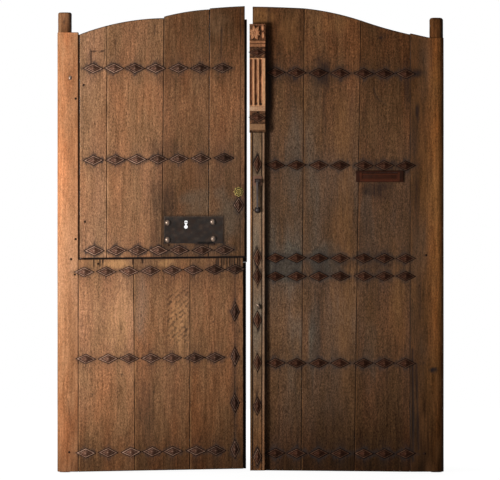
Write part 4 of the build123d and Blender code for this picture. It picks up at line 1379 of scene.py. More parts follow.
def clinched_end(length: float, width: float) -> Mesh:
    """End of a nail bent over on the back of a ledge, facing +Y.

    Args:
        length: length of the bent part.
        width: thickness of the nail.

    Returns:
        The end's mesh.
    """
    path = ((0.0, -3.0, 1.0), (0.0, 2.2, 1.0), (0.10, 4.2, 1.0), (0.45, 4.6, 0.85), (0.80, 3.0, 0.55),
            (1.0, 0.4, 0.15))
    rings = []
    for share, rise, thick in path:
        half = width * thick / 2
        z = -share * length
        flat, tall = (0.0, half) if share < 0.08 else (half, 0.0)
        rings.append([(-half, rise - flat, z + tall), (half, rise - flat, z + tall),
                      (half, rise + flat, z - tall), (-half, rise + flat, z - tall)])
    mesh = tube("clinched_end", rings, angle=30.0)
    Masks(0.9, weather=0.3).write(mesh)
    return mesh


# Carved capital and astragal


@dataclass
class Capital:
    """Carved head of the astragal: base, stud blocks, flutes, two beads and a rosette."""

    left: float = -5.8
    right: float = 77.2
    levels: tuple[float, ...] = (1766.5, 1812.5, 1876.5, 1902.5, 2154.5, 2210.5, 2228.5, 2246.5, 2330.5)
    depth: float = 50.0
    sunk: float = 6.0
    flutes: tuple[float, ...] = (4.5, 29.0, 53.0)
    flute_half: float = 12.0
    flute_depth: float = 11.0
    rosette: Point = (23.0, 2285.0)
    petals: tuple[Place, ...] = (
        (100, 41, 11), (58, 40, 11), (150, 34, 11), (200, 31, 10), (244, 40, 12), (292, 40, 12), (335, 31, 10),
        (15, 29, 9))
    scroll: tuple[tuple[float, ...], ...] = ((65.0, 2311.0, 9.5, 17.0), (67.0, 2272.0, 9.0, 19.0))
    step: Point = (1.3, 1.7)
    near: tuple[float, ...] = (0.8, 2.0, 3.5)

    def relief(self, x: Array, z: Array) -> Array:
        """Height of the carving above the boards at each place.

        Args:
            x: places across.
            z: heights.

        Returns:
            The heights of the face.
        """
        level = self.levels
        face, sunk = self.depth, self.depth - self.sunk
        h = np.full_like(x, face)
        cove = ramp(z, level[0] - 2, level[0] + 20)
        h = np.where(z < level[1], 34 + 16 * np.sqrt(np.clip(cove, 0, 1)), h)
        h = np.where((z >= level[1]) & (z < level[2]), sunk, h)
        h = np.where((z >= level[4]) & (z < level[5]), sunk, h)
        panel = (level[3] + level[4]) / 2
        half = (level[4] - level[3]) / 2 - 12
        cut = np.zeros_like(x)
        for place in self.flutes:
            gap = np.hypot(x - place, np.maximum(np.abs(z - panel) - half, 0)) / self.flute_half
            swell = (0.5 + 0.5 * np.cos(math.pi * np.clip(gap, 0, 1))) ** 1.2
            cut = np.maximum(cut, self.flute_depth * swell)
        h = h - cut
        for low, high in ((level[5], level[6]), (level[6], level[7])):
            r = (high - low) / 2
            round_part = face - r + np.sqrt(np.clip(r * r - (z - (low + high) / 2) ** 2, 0, None))
            h = np.where((z >= low) & (z < high), round_part, h)
        h = np.where(z >= level[7], self.carving(x, z), h)
        groove = np.zeros_like(x)
        for height in (*level[1:8], (level[5] + level[6]) / 2, (level[6] + level[7]) / 2):
            groove = np.maximum(groove, 2.2 * np.exp(-(((z - height) / 1.8) ** 2)))
        broken = 9 * ramp(x, 13, 4) * ramp(z, level[0] + 15, level[0] + 3)
        return h - groove - broken

    def carving(self, x: Array, z: Array) -> Array:
        """Height of the rosette, the scrolls beside it and the rim above the boards.

        Args:
            x: places across.
            z: heights.

        Returns:
            The heights of the face.
        """
        ground = self.depth - 13
        carved = np.full_like(x, ground)
        dx, dz = x - self.rosette[0], z - self.rosette[1]
        for angle, length, half_width in self.petals:
            a = math.radians(angle)
            along = dx * math.cos(a) + dz * math.sin(a)
            aside = -dx * math.sin(a) + dz * math.cos(a)
            share = np.clip(along / length, 0, 1)
            wide = half_width * np.sin(math.pi * share**0.8) + 0.01
            bulge = np.sqrt(np.clip(1 - (aside / wide) ** 2, 0, 1)) * (0.75 + 0.25 * np.sin(math.pi * share))
            rib = 0.25 * np.exp(-((aside / 1.6) ** 2))
            petal = ground + 13 * np.where((along > 0) & (along < length), bulge - rib * (bulge > 0), 0)
            carved = np.maximum(carved, petal)
        for sx, sz, half_x, half_z in ((*self.rosette, 8, 8), *self.scroll):
            gap = np.hypot((x - sx) / half_x, (z - sz) / half_z)
            carved = np.maximum(carved, ground + 12 * np.sqrt(np.clip(1 - gap**2, 0, 1)))
        head, side = self.levels[8], self.right
        rim = np.maximum(ramp(z, head - 5, head - 2), ramp(x, side - 4, side - 1.5))
        return np.maximum(carved, ground + 6 * rim)

    def build(self) -> None:
        """Carve the block and dress it."""
        level = self.levels
        x, z = lattice((self.left, level[0]), (self.right, level[8]), self.step, self.near, self.near)
        h = self.relief(x, z)
        side = np.minimum(x - self.left, self.right - x)
        h = h - ease(side, 3.6 + 1.4 * waver(x, z, 200, 25, 41))
        h = h - ease(np.minimum(z - level[0], level[8] - z), 2.6)
        h = h - 0.5 - 0.6 * waver(x, z, 9, 14, 42) - 0.25 * waver(x, z, 3.5, 7, 43)
        mesh = slab("carved_capital", x, z, PLANK_FRONT - h, np.full_like(x, PLANK_FRONT + 1.2))
        # Painted shade: darker the deeper the cut, in the flutes and on the ground round the rosette; the sunk
        # bands are dark all over.
        deep = ramp(h, self.depth - 2.5, self.depth - 11)
        stain = np.clip(0.80 * deep * (0.8 + 0.4 * waver(x, z, 10, 30, 44)), 0, 1)
        bands = ((z > level[1]) & (z < level[2])) | ((z > level[4]) & (z < level[5]))
        stain = np.where(bands, 0.79 + 0.2 * waver(x, z, 14, 9, 45), stain)
        carved = z > level[7]
        stain = np.where(carved, 0.76 * ramp(h, self.depth - 5, self.depth - 13), stain)
        wear = 0.75 * ramp(h, self.depth - 3.2, self.depth - 0.8)
        beads = (z >= level[5]) & (z < level[7])
        wear = np.where(bands, 0.0, np.where(carved, 0.75 * wear, np.where(beads, 0.2 * wear, wear)))
        tone = 1 + 0.12 * waver(x, z, 20, 60, 46)
        tone = np.where(z < level[1], 0.33, np.where(beads, 0.75 * tone, tone))
        plain_band = (z >= level[2]) & (z < level[3])
        wear = np.where((z < level[1]) | plain_band, 0.4 * wear, wear)
        weather = np.where(plain_band, 0.75, np.where(z < level[1], 0.5, 0.15))
        Masks.two_sided(x, (tone, tone), (stain, 0.35), (wear, 0.0), (weather, 0.2)).write(mesh)
        add_piece(mesh, "carved_capital_worn", Bodies.RIGHT, CAPITAL,
                  ["carved_capital"])


@dataclass
class Astragal:
    """Cover strip along the meeting edge, with a bead and a quirk along each side."""

    left: float = -2.3
    right: float = 73.7
    foot: float = 11.0
    head: float = 1766.5
    thickness: float = 32.0
    bead: float = 12.0
    quirk: float = 4.5
    quirk_depth: float = 5.0
    step: Point = (1.9, 8.0)

    def build(self, studs: Studs) -> None:
        """Mould the strip and dress it.

        Args:
            studs: studs on the strip, for the iron stains.
        """
        corners = (self.left, self.foot), (self.right, self.head)
        x, z = lattice(*corners, self.step, (0.8, 1.8, 3.2), (1.5, 4.0, 8.0))
        h = np.full_like(x, self.thickness)
        stain = np.zeros_like(x)
        for edge, turn in ((self.left, 1), (self.right, -1)):
            inside = (x - edge) * turn
            line = self.bead + self.quirk / 2 + 0.8 * waver(x, z, 900, 120, 51 + turn)
            h = h - self.quirk_depth * np.exp(-(((inside - line) / 2.0) ** 2))
            h = h - ease(inside, 5.0 + 1.2 * waver(x, z, 900, 60, 53 + turn))
            # Painted shade: a dark line along each quirk.
            stain = np.maximum(stain, 0.95 * np.exp(-(((inside - line) / 3.2) ** 2)))
        h = h - 0.6 - 0.6 * waver(x, z, 30, 160, 55) - 0.4 * waver(x, z, 8, 60, 56)
        h = h - ease(np.minimum(z - self.foot, self.head - z), 3.0)
        mesh = slab("astragal", x, z, PLANK_FRONT - h, np.full_like(x, PLANK_FRONT + 1.2))
        stain = np.maximum(stain, studs.stain(x, z, 1.5, 0.9))
        # Painted shadow of the bent nail on its right, with iron stain.
        stain = np.maximum(stain, 0.75 * Spot((48.0, 866.0), (9.0, 22.0), 1.0).cover(x, z, 60.0))
        inner = ramp(x, self.left + self.bead + 3, self.left + self.bead - 3)
        outer = ramp(x, self.right - self.bead - 3, self.right - self.bead + 3)
        share = (z - self.foot) / (self.head - self.foot)
        # The left bead is darker, most in the lower half: painted shade.
        gain = np.interp(share, (0.15, 0.50, 0.65), (-0.45, -0.35, -0.10))
        tone = np.interp(share, (0.0, 0.35, 0.75, 1.0), (0.62, 0.85, 0.92, 0.90))
        tone = tone * (1 + gain * inner + 0.15 * outer) * (1 + 0.12 * waver(x, z, 18, 130, 57))
        wear = 0.75 * outer * (0.7 + 0.4 * waver(x, z, 90, 70, 58))
        wear = wear * np.interp(share, (0.0, 0.4, 1.0), (0.4, 0.8, 1.0))
        weather = (0.75 - 0.75 * inner) * np.interp(share, (0.1, 0.4), (0.0, 1.0))
        weather = weather * (1 + 0.4 * waver(x, z, 30, 200, 59))
        Masks.two_sided(x, (tone, tone), (stain, 0.3), (wear, 0.0), (weather, weather)).write(mesh)
        add_piece(mesh, "astragal_worn", Bodies.RIGHT, ASTRAGAL, ["astragal"])


# Metalwork


def prism(name: str, outline: Sequence[Point], front: float, back: float) -> Mesh:
    """Closed mesh of one outline, carried from one depth to another.

    Args:
        name: name of the mesh.
        outline: places across and heights of its corners.
        front: depth at which it starts.
        back: depth at which it ends.

    Returns:
        The mesh.
    """
    return tube(name, [[(x, y, z) for x, z in outline] for y in (front, back)])


def keyhole_cutter(grow: float, front: float, back: float, place: Point = (-336.2, 1288.9), end: float = 9.5,
                   waist: float = 9.0, length: float = 43.0) -> Mesh:
    """Closed shape of the keyhole, two round ends and a waist, from one depth to another.

    Args:
        grow: clearance all round.
        front: depth at which it starts.
        back: depth at which it ends.
        place: middle of the keyhole.
        end: radius of its round ends.
        waist: width between them.
        length: length over all.

    Returns:
        The cutter's mesh.
    """
    reach = length / 2 - end
    start = math.degrees(math.asin((waist / 2 + grow) / (end + grow)))
    turns = np.radians(np.linspace(start, 360 - start, 22))
    radius = end + grow
    low = [(radius * math.sin(t), -reach + radius * math.cos(t)) for t in turns]
    high = [(-px, -pz) for px, pz in low]
    outline = [(place[0] + px, place[1] + pz) for px, pz in [*low, *high]]
    return prism("keyhole_cutter", outline, front, back)


def box_cutter(low: Sequence[float], high: Sequence[float]) -> Mesh:
    """Closed box between two corners in millimetres."""
    outline = ((low[0], low[2]), (high[0], low[2]), (high[0], high[2]), (low[0], high[2]))
    return prism("box_cutter", outline, low[1], high[1])


def round_cutter(place: Point, radius: float, front: float, back: float) -> Mesh:
    """Closed cylinder along Y about a place, in millimetres."""
    turns = np.radians(np.arange(0, 360, 10))
    outline = [(place[0] + radius * math.cos(t), place[1] + radius * math.sin(t)) for t in turns]
    return prism("round_cutter", outline, front, back)


def eased_copy(node: str, width: float, tone: float = 1.0, seat: Point | None = None) -> Mesh:
    """Copy of a node's form with its edges worn round.

    Args:
        node: node to copy.
        width: width of the worn edge in millimetres.
        tone: brightness of its finish.
        seat: depth behind which it is a rusty plate, and the brightness there.

    Returns:
        The new mesh.
    """
    work = bmesh.new()
    work.from_mesh(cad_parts[node].data)
    bmesh.ops.remove_doubles(work, verts=work.verts, dist=2e-6)
    bmesh.ops.dissolve_limit(work, angle_limit=math.radians(FLAT_ANGLE), verts=work.verts, edges=work.edges)
    least = math.radians(WORN_ANGLE)
    sharp = [e for e in work.edges if len(e.link_faces) == 2 and e.calc_face_angle(0.0) > least]
    bmesh.ops.bevel(work, geom=sharp, offset=width * MM, segments=2, profile=0.6, affect="EDGES",
                    clamp_overlap=True)
    mesh = bpy.data.meshes.new(node)
    work.to_mesh(mesh)
    work.free()
    mesh.shade_smooth()
    mesh.set_sharp_from_angle(angle=math.radians(SHARP_ANGLE))
    masks = Masks(tone, weather=0.3)
    if seat is not None:
        behind = np.array([point.co.y for point in mesh.vertices]) > seat[0] * MM
        masks.tone = np.where(behind, seat[1], tone)
        masks.weather = behind.astype(float)
    masks.write(mesh)
    return mesh


@dataclass
class LockPlate:
    """Hammered sheet-iron plate round the keyhole, its lower right corner bent and let down."""

    low: Point = (-449.4, 1190.3)
    high: Point = (-143.4, 1331.3)
    thickness: float = 3.0
    step: Point = (5.0, 5.0)
    near: tuple[float, ...] = (0.8, 2.0, 4.0)

    def build(self) -> None:
        """Beat the plate out, pierce the keyhole and dress it."""
        x, z = lattice(self.low, self.high, self.step, self.near, self.near)
        edge = from_rim(x, z, self.low, self.high)
        rise = self.thickness + 0.5 * waver(x, z, 38, 38, 61) - ease(edge, 1.6)
        hem = ramp(z, self.low[1] + 14, self.low[1] + 4) * ramp(x, -282, -268) * ramp(x, -182, -192)
        rise = rise - 2.4 * hem
        bent = ramp(z, self.low[1] + 20, self.low[1]) - 0.8 * ramp(z, self.high[1] - 20, self.high[1])
        wave_z = z + 1.1 * waver(x, z, 45, 400, 62) * bent
        back = np.full_like(x, PLANK_FRONT + 2.0)
        mesh = slab("lock_plate", x, wave_z, PLANK_FRONT - np.maximum(rise, 0.4), back)
        wear = 0.6 * ramp(edge, 5, 0.5) * ramp(z, 1200, 1330) + 0.18 * np.clip(waver(x, z, 16, 16, 63), 0, 1)
        # Painted shade: the let-down hem is almost black.
        tone = (1 + 0.25 * waver(x, z, 55, 40, 64)) * (1 - 0.9 * hem)
        Masks.two_sided(x, (tone, tone), (0.0, 0.0), (wear, wear), (0.0, 0.0)).write(mesh)
        mesh = pierced(mesh, keyhole_cutter(0.0, PLANK_FRONT - 12, PLANK_FRONT + 12))
        add_piece(mesh, "lock_plate_beaten", Bodies.HATCH, PLATE_IRON, ["lock_plate"])


@dataclass
class CylinderRose:
    """Brass rose of the cylinder lock, with a scalloped rim and a raised ring round the plug."""

    place: Point = (-61.8, 1459.6)
    radius: float = 26.5
    lobes: int = 8
    barrel: Point = (14.0, 55.9)
    rise: float = 5.0
    plug_radius: float = 8.4

    def build(self) -> None:
        """Turn and scallop the rose and dress it."""
        turns = np.radians(np.arange(0, 360, 5))
        steps = ((1.0, -0.3, 0.2), (1.0, 0.25, 0.3), (0.95, 0.72, 0.9), (0.85, 0.86, 0.7), (0.76, 0.30, 0.0),
                 (0.60, 0.30, 0.0), (0.54, 0.92, 0.6), (0.47, 1.0, 0.9), (0.40, 0.92, 0.3), (0.33, 0.40, 0.0),
                 (0.33, -0.8, 0.0))
        stem, end = self.barrel
        profile = [(stem, end, 0.0, 0.0), (stem, PLANK_FRONT + 1.5, 0.0, 0.0)]
        profile += [(self.radius * share, PLANK_FRONT - self.rise * rise, bright, 0.09 * (share > 0.7))
                    for share, rise, bright in steps]
        rings, wear = [], []
        for size, depth, bright, scallop in profile:
            radius = np.maximum(size * (1 - scallop * (1 - np.cos(self.lobes * turns))), self.plug_radius)
            rings.append(np.stack([self.place[0] + radius * np.cos(turns), np.full(len(turns), depth),
                                   self.place[1] + radius * np.sin(turns)], axis=1))
            wear.append(np.full(len(turns), bright))
        mesh = tube("cylinder_rose", rings, angle=40.0)
        wear = np.concatenate(wear)
        Masks(0.2 + 0.8 * ramp(wear, 0.0, 0.4), 0.0, wear, 1 - ramp(wear, 0.0, 0.3)).write(mesh)
        add_piece(mesh, "cylinder_rose_scalloped", Bodies.HATCH, OLD_BRASS,
                  ["cylinder_rose"])


@dataclass(frozen=True)
class EasedNode:
    """A forged or cast piece that keeps its form and gets worn edges."""

    node: str
    body: Bodies
    width: float = 0.8
    tone: float = 1.0
    finish: MetalFinish = FORGED_IRON
    slot: str = "forged_iron"
    seat: Point | None = None

    def build(self) -> None:
        """Make the worn copy and dress it."""
        mesh = eased_copy(self.node, self.width, self.tone, self.seat)
        add_piece(mesh, self.node + "_eased", self.body, self.finish, [self.node])


@dataclass
class FlapRim:
    """Raised border on the letter flap, round a bare panel."""

    place: Point = (671.3, 1538.0)
    size: Point = (185.0, 27.0)
    bar: float = 3.0
    rise: float = 1.4
    face: float = -27.25

    def build(self) -> None:
        """Make the border and dress it."""
        rings = []
        half_x, half_z = self.size[0] / 2, self.size[1] / 2
        for inset, rise in ((0.0, -0.6), (0.0, 0.55), (0.25, 1.0), (0.75, 1.0), (1.0, 0.55), (1.0, -0.6)):
            x, z = half_x - inset * self.bar, half_z - inset * self.bar
            y = self.face - rise * self.rise
            rings.append([(self.place[0] + sx * x, y, self.place[1] + sz * z)
                          for sx, sz in ((-1, -1), (1, -1), (1, 1), (-1, 1))])
        mesh = tube("flap_rim", rings, angle=30.0, looped=True)
        Masks(0.75, wear=0.1).write(mesh)
        add_piece(mesh, "letter_flap_rim", Bodies.FLAP, RED_PAINT)


@dataclass
class LetterBead:
    """Bead on the letter plate that covers the gap along the flap's sides and foot."""

    place: Point = (671.3, 1539.6)
    window: Point = (193.0, 38.0)
    onto_plate: float = 8.0
    over_flap: float = 3.0
    front: float = -31.0
    back: float = -27.7

    def build(self) -> None:
        """Make the bead and dress it."""
        side, top = self.window[0] / 2, self.window[1] / 2
        outer_x, inner_x = side + self.onto_plate, side - self.over_flap
        outer_z, inner_z = -top - self.onto_plate, -top + self.over_flap
        outline = ((-outer_x, top), (-outer_x, outer_z), (outer_x, outer_z), (outer_x, top), (inner_x, top),
                   (inner_x, inner_z), (-inner_x, inner_z), (-inner_x, top))
        placed = [(self.place[0] + px, self.place[1] + pz) for px, pz in outline]
        mesh = prism("letter_bead", placed, self.front, self.back)
        Masks(0.62, wear=0.1).write(mesh)
        add_piece(mesh, "letter_plate_bead", Bodies.RIGHT, RED_PAINT)


# The studio


@dataclass
class Studio:
    """Floor, light and camera at the photograph's viewing place."""

    distance: float = 24.0
    frame_width: float = 2.6
    sensor: float = 36.0
    aim: Place = (-0.003, -0.022, 1.2085)
    key_place: Place = (-3.5, -3.8, 1.3)
    key_aim: Place = (0.1, 0.0, 1.25)
    key_size: Point = (0.9, 1.3)
    key_power: float = 330.0
    back_place: Place = (1.6, 4.6, 2.6)
    back_aim: Place = (0.0, 0.1, 1.2)
    back_size: Point = (2.2, 2.2)
    back_power: float = 95.0
    ambient: float = 0.17
    floor_glow: float = 0.87

    def seen(self, g: Graph) -> Socket:
        """One for rays of the camera, of reflections and of transmission, and nought for other light."""
        path = g.add("ShaderNodeLightPath").outputs
        either = g.sum("MAXIMUM", path["Is Camera Ray"], path["Is Glossy Ray"])
        return g.sum("MAXIMUM", either, path["Is Transmission Ray"])

    def floor(self) -> None:
        """Pale floor that keeps the shadow of the leaves."""
        mesh = bpy.data.meshes.new("floor")
        mesh.from_pydata([(-9, -12, 0), (9, -12, 0), (9, 9, 0), (-9, 9, 0)], [], [(0, 1, 2, 3)])
        material = bpy.data.materials.new("floor_white")
        material.use_nodes = True
        tree = material.node_tree
        shader = tree.nodes["Principled BSDF"]
        shader.inputs["Base Color"].default_value = (0.92, 0.92, 0.92, 1.0)
        shader.inputs["Roughness"].default_value = 0.9
        shader.inputs["Specular IOR Level"].default_value = 0.0
        g = Graph(tree)
        place = g.add("ShaderNodeTexCoord").outputs["Object"]
        away = g.add("ShaderNodeVectorMath", {0: place}, operation="LENGTH")
        glow = g.sum("MULTIPLY", self.seen(g), g.fit(away.outputs["Value"], 1.0, 2.4, self.floor_glow, 1.0))
        white = g.add("ShaderNodeEmission", {"Color": (1.0, 1.0, 1.0, 1.0), "Strength": 1.08}).outputs[0]
        mixed = g.add("ShaderNodeMixShader", {0: glow, 1: shader.outputs[0], 2: white}).outputs[0]
        tree.links.new(mixed, tree.nodes["Material Output"].inputs["Surface"])
        mesh.materials.append(material)
        shown(mesh, "floor")

    def lamp(self, name: str, place: Place, aim: Place, size: Point, power: float) -> None:
        """Area light at a place, turned to what it lights.

        Args:
            name: name of the light.
            place: where it stands.
            aim: what it is turned to.
            size: its width and height.
            power: its power in watts.
        """
        lamp = bpy.data.lights.new(name, "AREA")
        lamp.shape = "RECTANGLE"
        lamp.size, lamp.size_y = size
        lamp.energy = power
        obj = bpy.data.objects.new(name, lamp)
        obj.location = place
        obj.rotation_euler = (Vector(aim) - Vector(place)).to_track_quat("-Z", "Y").to_euler()
        bpy.context.scene.collection.objects.link(obj)

    def light(self) -> None:
        """Soft light from the left, a weak one on the backs and an even pale surround."""
        self.lamp("key_light", self.key_place, self.key_aim, self.key_size, self.key_power)
        self.lamp("back_light", self.back_place, self.back_aim, self.back_size, self.back_power)
        world = bpy.data.worlds.new("surround")
        world.use_nodes = True
        bpy.context.scene.world = world
        tree = world.node_tree
        g = Graph(tree)
        level = g.fit(self.seen(g), 0.0, 1.0, self.ambient, 1.0)
        back = tree.nodes["Background"]
        back.inputs["Color"].default_value = (1.0, 1.0, 1.0, 1.0)
        tree.links.new(level, back.inputs["Strength"])

    def camera(self) -> None:
        """Long lens straight in front of the pair."""
        lens = bpy.data.cameras.new("camera")
        lens.sensor_fit = "HORIZONTAL"
        lens.sensor_width = self.sensor
        lens.lens = self.sensor * self.distance / self.frame_width
        lens.clip_end = 100.0
        obj = bpy.data.objects.new("camera", lens)
        obj.location = (self.aim[0], self.aim[1] - self.distance, self.aim[2])
        obj.rotation_euler = (math.pi / 2, 0, 0)
        bpy.context.scene.collection.objects.link(obj)
        bpy.context.scene.camera = obj
        bpy.context.scene.view_settings.view_transform = "Standard"

    def build(self) -> None:
        """Set up the floor, the light and the camera."""
        self.floor()
        self.light()
        self.camera()


# Boards of the three fields, foot to top, left to right. Their tones fall from left to right, partly the wood's
# own colour and partly painted falloff of the light from the left, and they are darker towards the foot.

END_CHECKS = tuple(Split((x, 1060 + drop), (x + lean, 1112), 2.8, 3.5, 1.0) for x, drop, lean in (
    (-815, 8, 0.5), (-783, 14, -0.5), (-768, 26, 0.4), (-611, 22, 0.0), (-560, 30, 0.6)))
LATE_CHECKS = tuple(Split((x, 1058 + drop), (x + lean, 1116), 2.3, 3.5, 1.0) for x, drop, lean in (
    (-178, 10, 0.5), (-168, 24, -0.4), (-150, 4, 0.5), (-138, 18, 0.3), (-121, 8, -0.5), (-107, 22, 0.4),
    (-96, 6, 0.2), (-84, 14, 0.0), (-66, 26, 0.3), (-55, 10, -0.4)))

HATCH_BOARDS = (
    Board("hatch_plank_1", (-889.5, 1113.7), (-748.5, 1115.3), (-889.5, 2277.5), 2302.6, (-747.0, 2323.2),
          (0.90, 0.88, 0.81, 0.90), (0.275, 0.275, 0.265, 0.275), joint=0.15, seed=1.3,
          marks=(Split((-828, 2113), (-828, 2191), 1.8, 2.2, 0.9),
                 Split((-828, 2191), (-752, 2191), 2.2, 2.2, 1.0),
                 Split((-833, 2090), (-834, 2200), 3.0, 1.0, 0.6),
                 Split((-806, 2122), (-804, 2165), 2.0, 0.8, 0.5),
                 Split((-766, 2113), (-756, 2185), 1.6, 1.6, 0.6)),
          spots=(Spot((-868, 2011), (7, 9), 0.85, 1.0), Spot((-862, 1303), (6, 6), 0.8, 1.0)),
          lights=(Spot((-789, 2150), (40, 40), 0.15),)),
    Board("hatch_plank_2", (-748.5, 1115.3), (-461.5, 1118.5), (-747.0, 2323.2), 2352.0, (-450.8, 2362.8),
          (0.82, 0.83, 0.83, 0.75), (0.195, 0.155, 0.135, 0.135), edge_wear_and_highlight=0.95, joint=0.2, seed=2.7,
          marks=(Split((-497, 2275), (-496, 2329), 1.6, 2.6, 0.8),
                 Split((-700, 2150), (-702, 2260), 2.2, 0.8, 0.35)),
          spots=(Spot((-466, 1330), (70, 290), 0.5), Spot((-470, 1400), (55, 150), 0.6),
                 Spot((-470, 1690), (80, 60), 0.34), Spot((-462, 2085), (50, 90), 0.3))),
    Board("hatch_plank_3", (-461.5, 1118.5), (-219.1, 1121.2), (-450.8, 2370.4), 2395.5, (-213.2, 2408.3),
          (0.37, 0.38, 0.55, 0.39), (0.385, 0.275, 0.165, 0.06), soak=0.55, joint=0.85, seed=3.9,
          # The dark lines along the lock plate's edges, darkest under its foot, are its painted shadow.
          marks=(Split((-452, 1186), (-452, 1334), 4.0, 0.0, 0.7),
                 Split((-450, 1334), (-219, 1334), 3.0, 0.0, 0.6),
                 Split((-285, 1187), (-219, 1187), 4.5, 0.0, 0.9)),
          spots=(Spot((-440, 1300), (20, 240), 0.5), Spot((-430, 1420), (50, 120), 0.5),
                 Spot((-424, 1182), (6, 6), 0.9, 1.0), Spot((-420, 1690), (60, 55), 0.26),
                 Spot((-430, 2085), (40, 90), 0.24)), greys=(Spot((-250, 1400), (150, 90), 0.9),)),
    Board("hatch_plank_4", (-219.1, 1121.2), (-30.0, 1123.4), (-213.1, 2413.1), 2420.3, (-30.0, 2425.0),
          (0.32, 0.34, 0.68, 0.23), (0.385, 0.285, 0.115, 0.01), soak=0.5, joint=0.95, seed=4.4,
          marks=(Split((-154, 2145), (-151, 2310), 3.0, 1.2, 0.6),
                 Split((-53, 1123), (-52.5, 2424), 1.6, 2.4, 0.55),
                 # The dark lines along the lock plate's edges, darkest under its foot, are its painted shadow.
                 Split((-219, 1334), (-142, 1334), 3.0, 0.0, 0.6),
                 Split((-140.5, 1188), (-140.5, 1334), 4.0, 0.0, 0.75),
                 Split((-219, 1187), (-182, 1187), 4.5, 0.0, 0.9)),
          spots=(Spot((-190, 1187), (6, 6), 0.9, 1.0),), greys=(Spot((-120, 1320), (110, 200), 0.9),),
          lights=(Spot((-174, 2326), (60, 80), 0.16),)),
)
LOWER_BOARDS = (
    Board("lower_plank_1", (-896.0, 3.0), (-601.7, 8.5), (-896.0, 1107.7), 1109.3, (-609.0, 1110.9), (0.35,
                 0.75, 1.10, 0.76), (0.01, 0.175, 0.265, 0.285), marks=END_CHECKS, end_wear=0.25, halo=1.6,
          soak=0.45, seed=5.2, spots=(Spot((-793, 1085), (6, 7), 0.8, 1.0),
                 Spot((-669, 507), (11, 8), 0.55, 1.6), Spot((-822, 404), (10, 9), 0.5, 1.4),
                 Spot((-694, 420), (6, 7), 0.5, 1.2)), lights=(Spot((-690, 800), (70, 190), 0.22),
                 Spot((-695, 1084), (96, 28), 0.65))),
    Board("lower_plank_2", (-601.7, 8.5), (-316.8, 13.8), (-609.0, 1110.9), 1112.5, (-314.6, 1114.2), (0.22,
                 0.52, 0.74, 0.45), (0.01, 0.155, 0.245, 0.285), marks=END_CHECKS, end_wear=0.12, halo=1.6,
          soak=0.45, seed=6.8, pocked=(-460.0, -312.0, 620.0, 990.0), step=(3.2, 4.6),
          spots=(Spot((-527, 667), (5, 6), 0.5, 1.0), Spot((-503, 416), (6, 7), 0.5, 1.2),
                 Spot((-548, 330), (62, 190), 0.30)), greys=(Spot((-570, 900), (70, 260), 0.5),),
          lights=(Spot((-375, 790), (60, 190), 0.30), Spot((-435, 1086), (56, 26), 0.5))),
    Board("lower_plank_3", (-316.8, 13.8), (-38.0, 19.0), (-314.6, 1114.2), 1115.7, (-38.0, 1117.3), (0.18,
                 0.41, 0.69, 0.45), (0, 0.04, 0.165, 0.185), end_wear=0.08, halo=1.6, soak=0.5, seed=7.5,
          marks=(*LATE_CHECKS, Split((-81, 120), (-80, 1000), 2.0, 1.8, 0.65)),
          spots=(Spot((-192.7, 782), (7, 7), 0.8, 1.0), Spot((-57, 735), (7, 8), 0.7, 1.0),
                 Spot((-57, 440), (6, 7), 0.6, 1.0), Spot((-69, 241), (8, 9), 0.7, 1.0),
                 Spot((-84, 600), (30, 420), 0.32))),
)
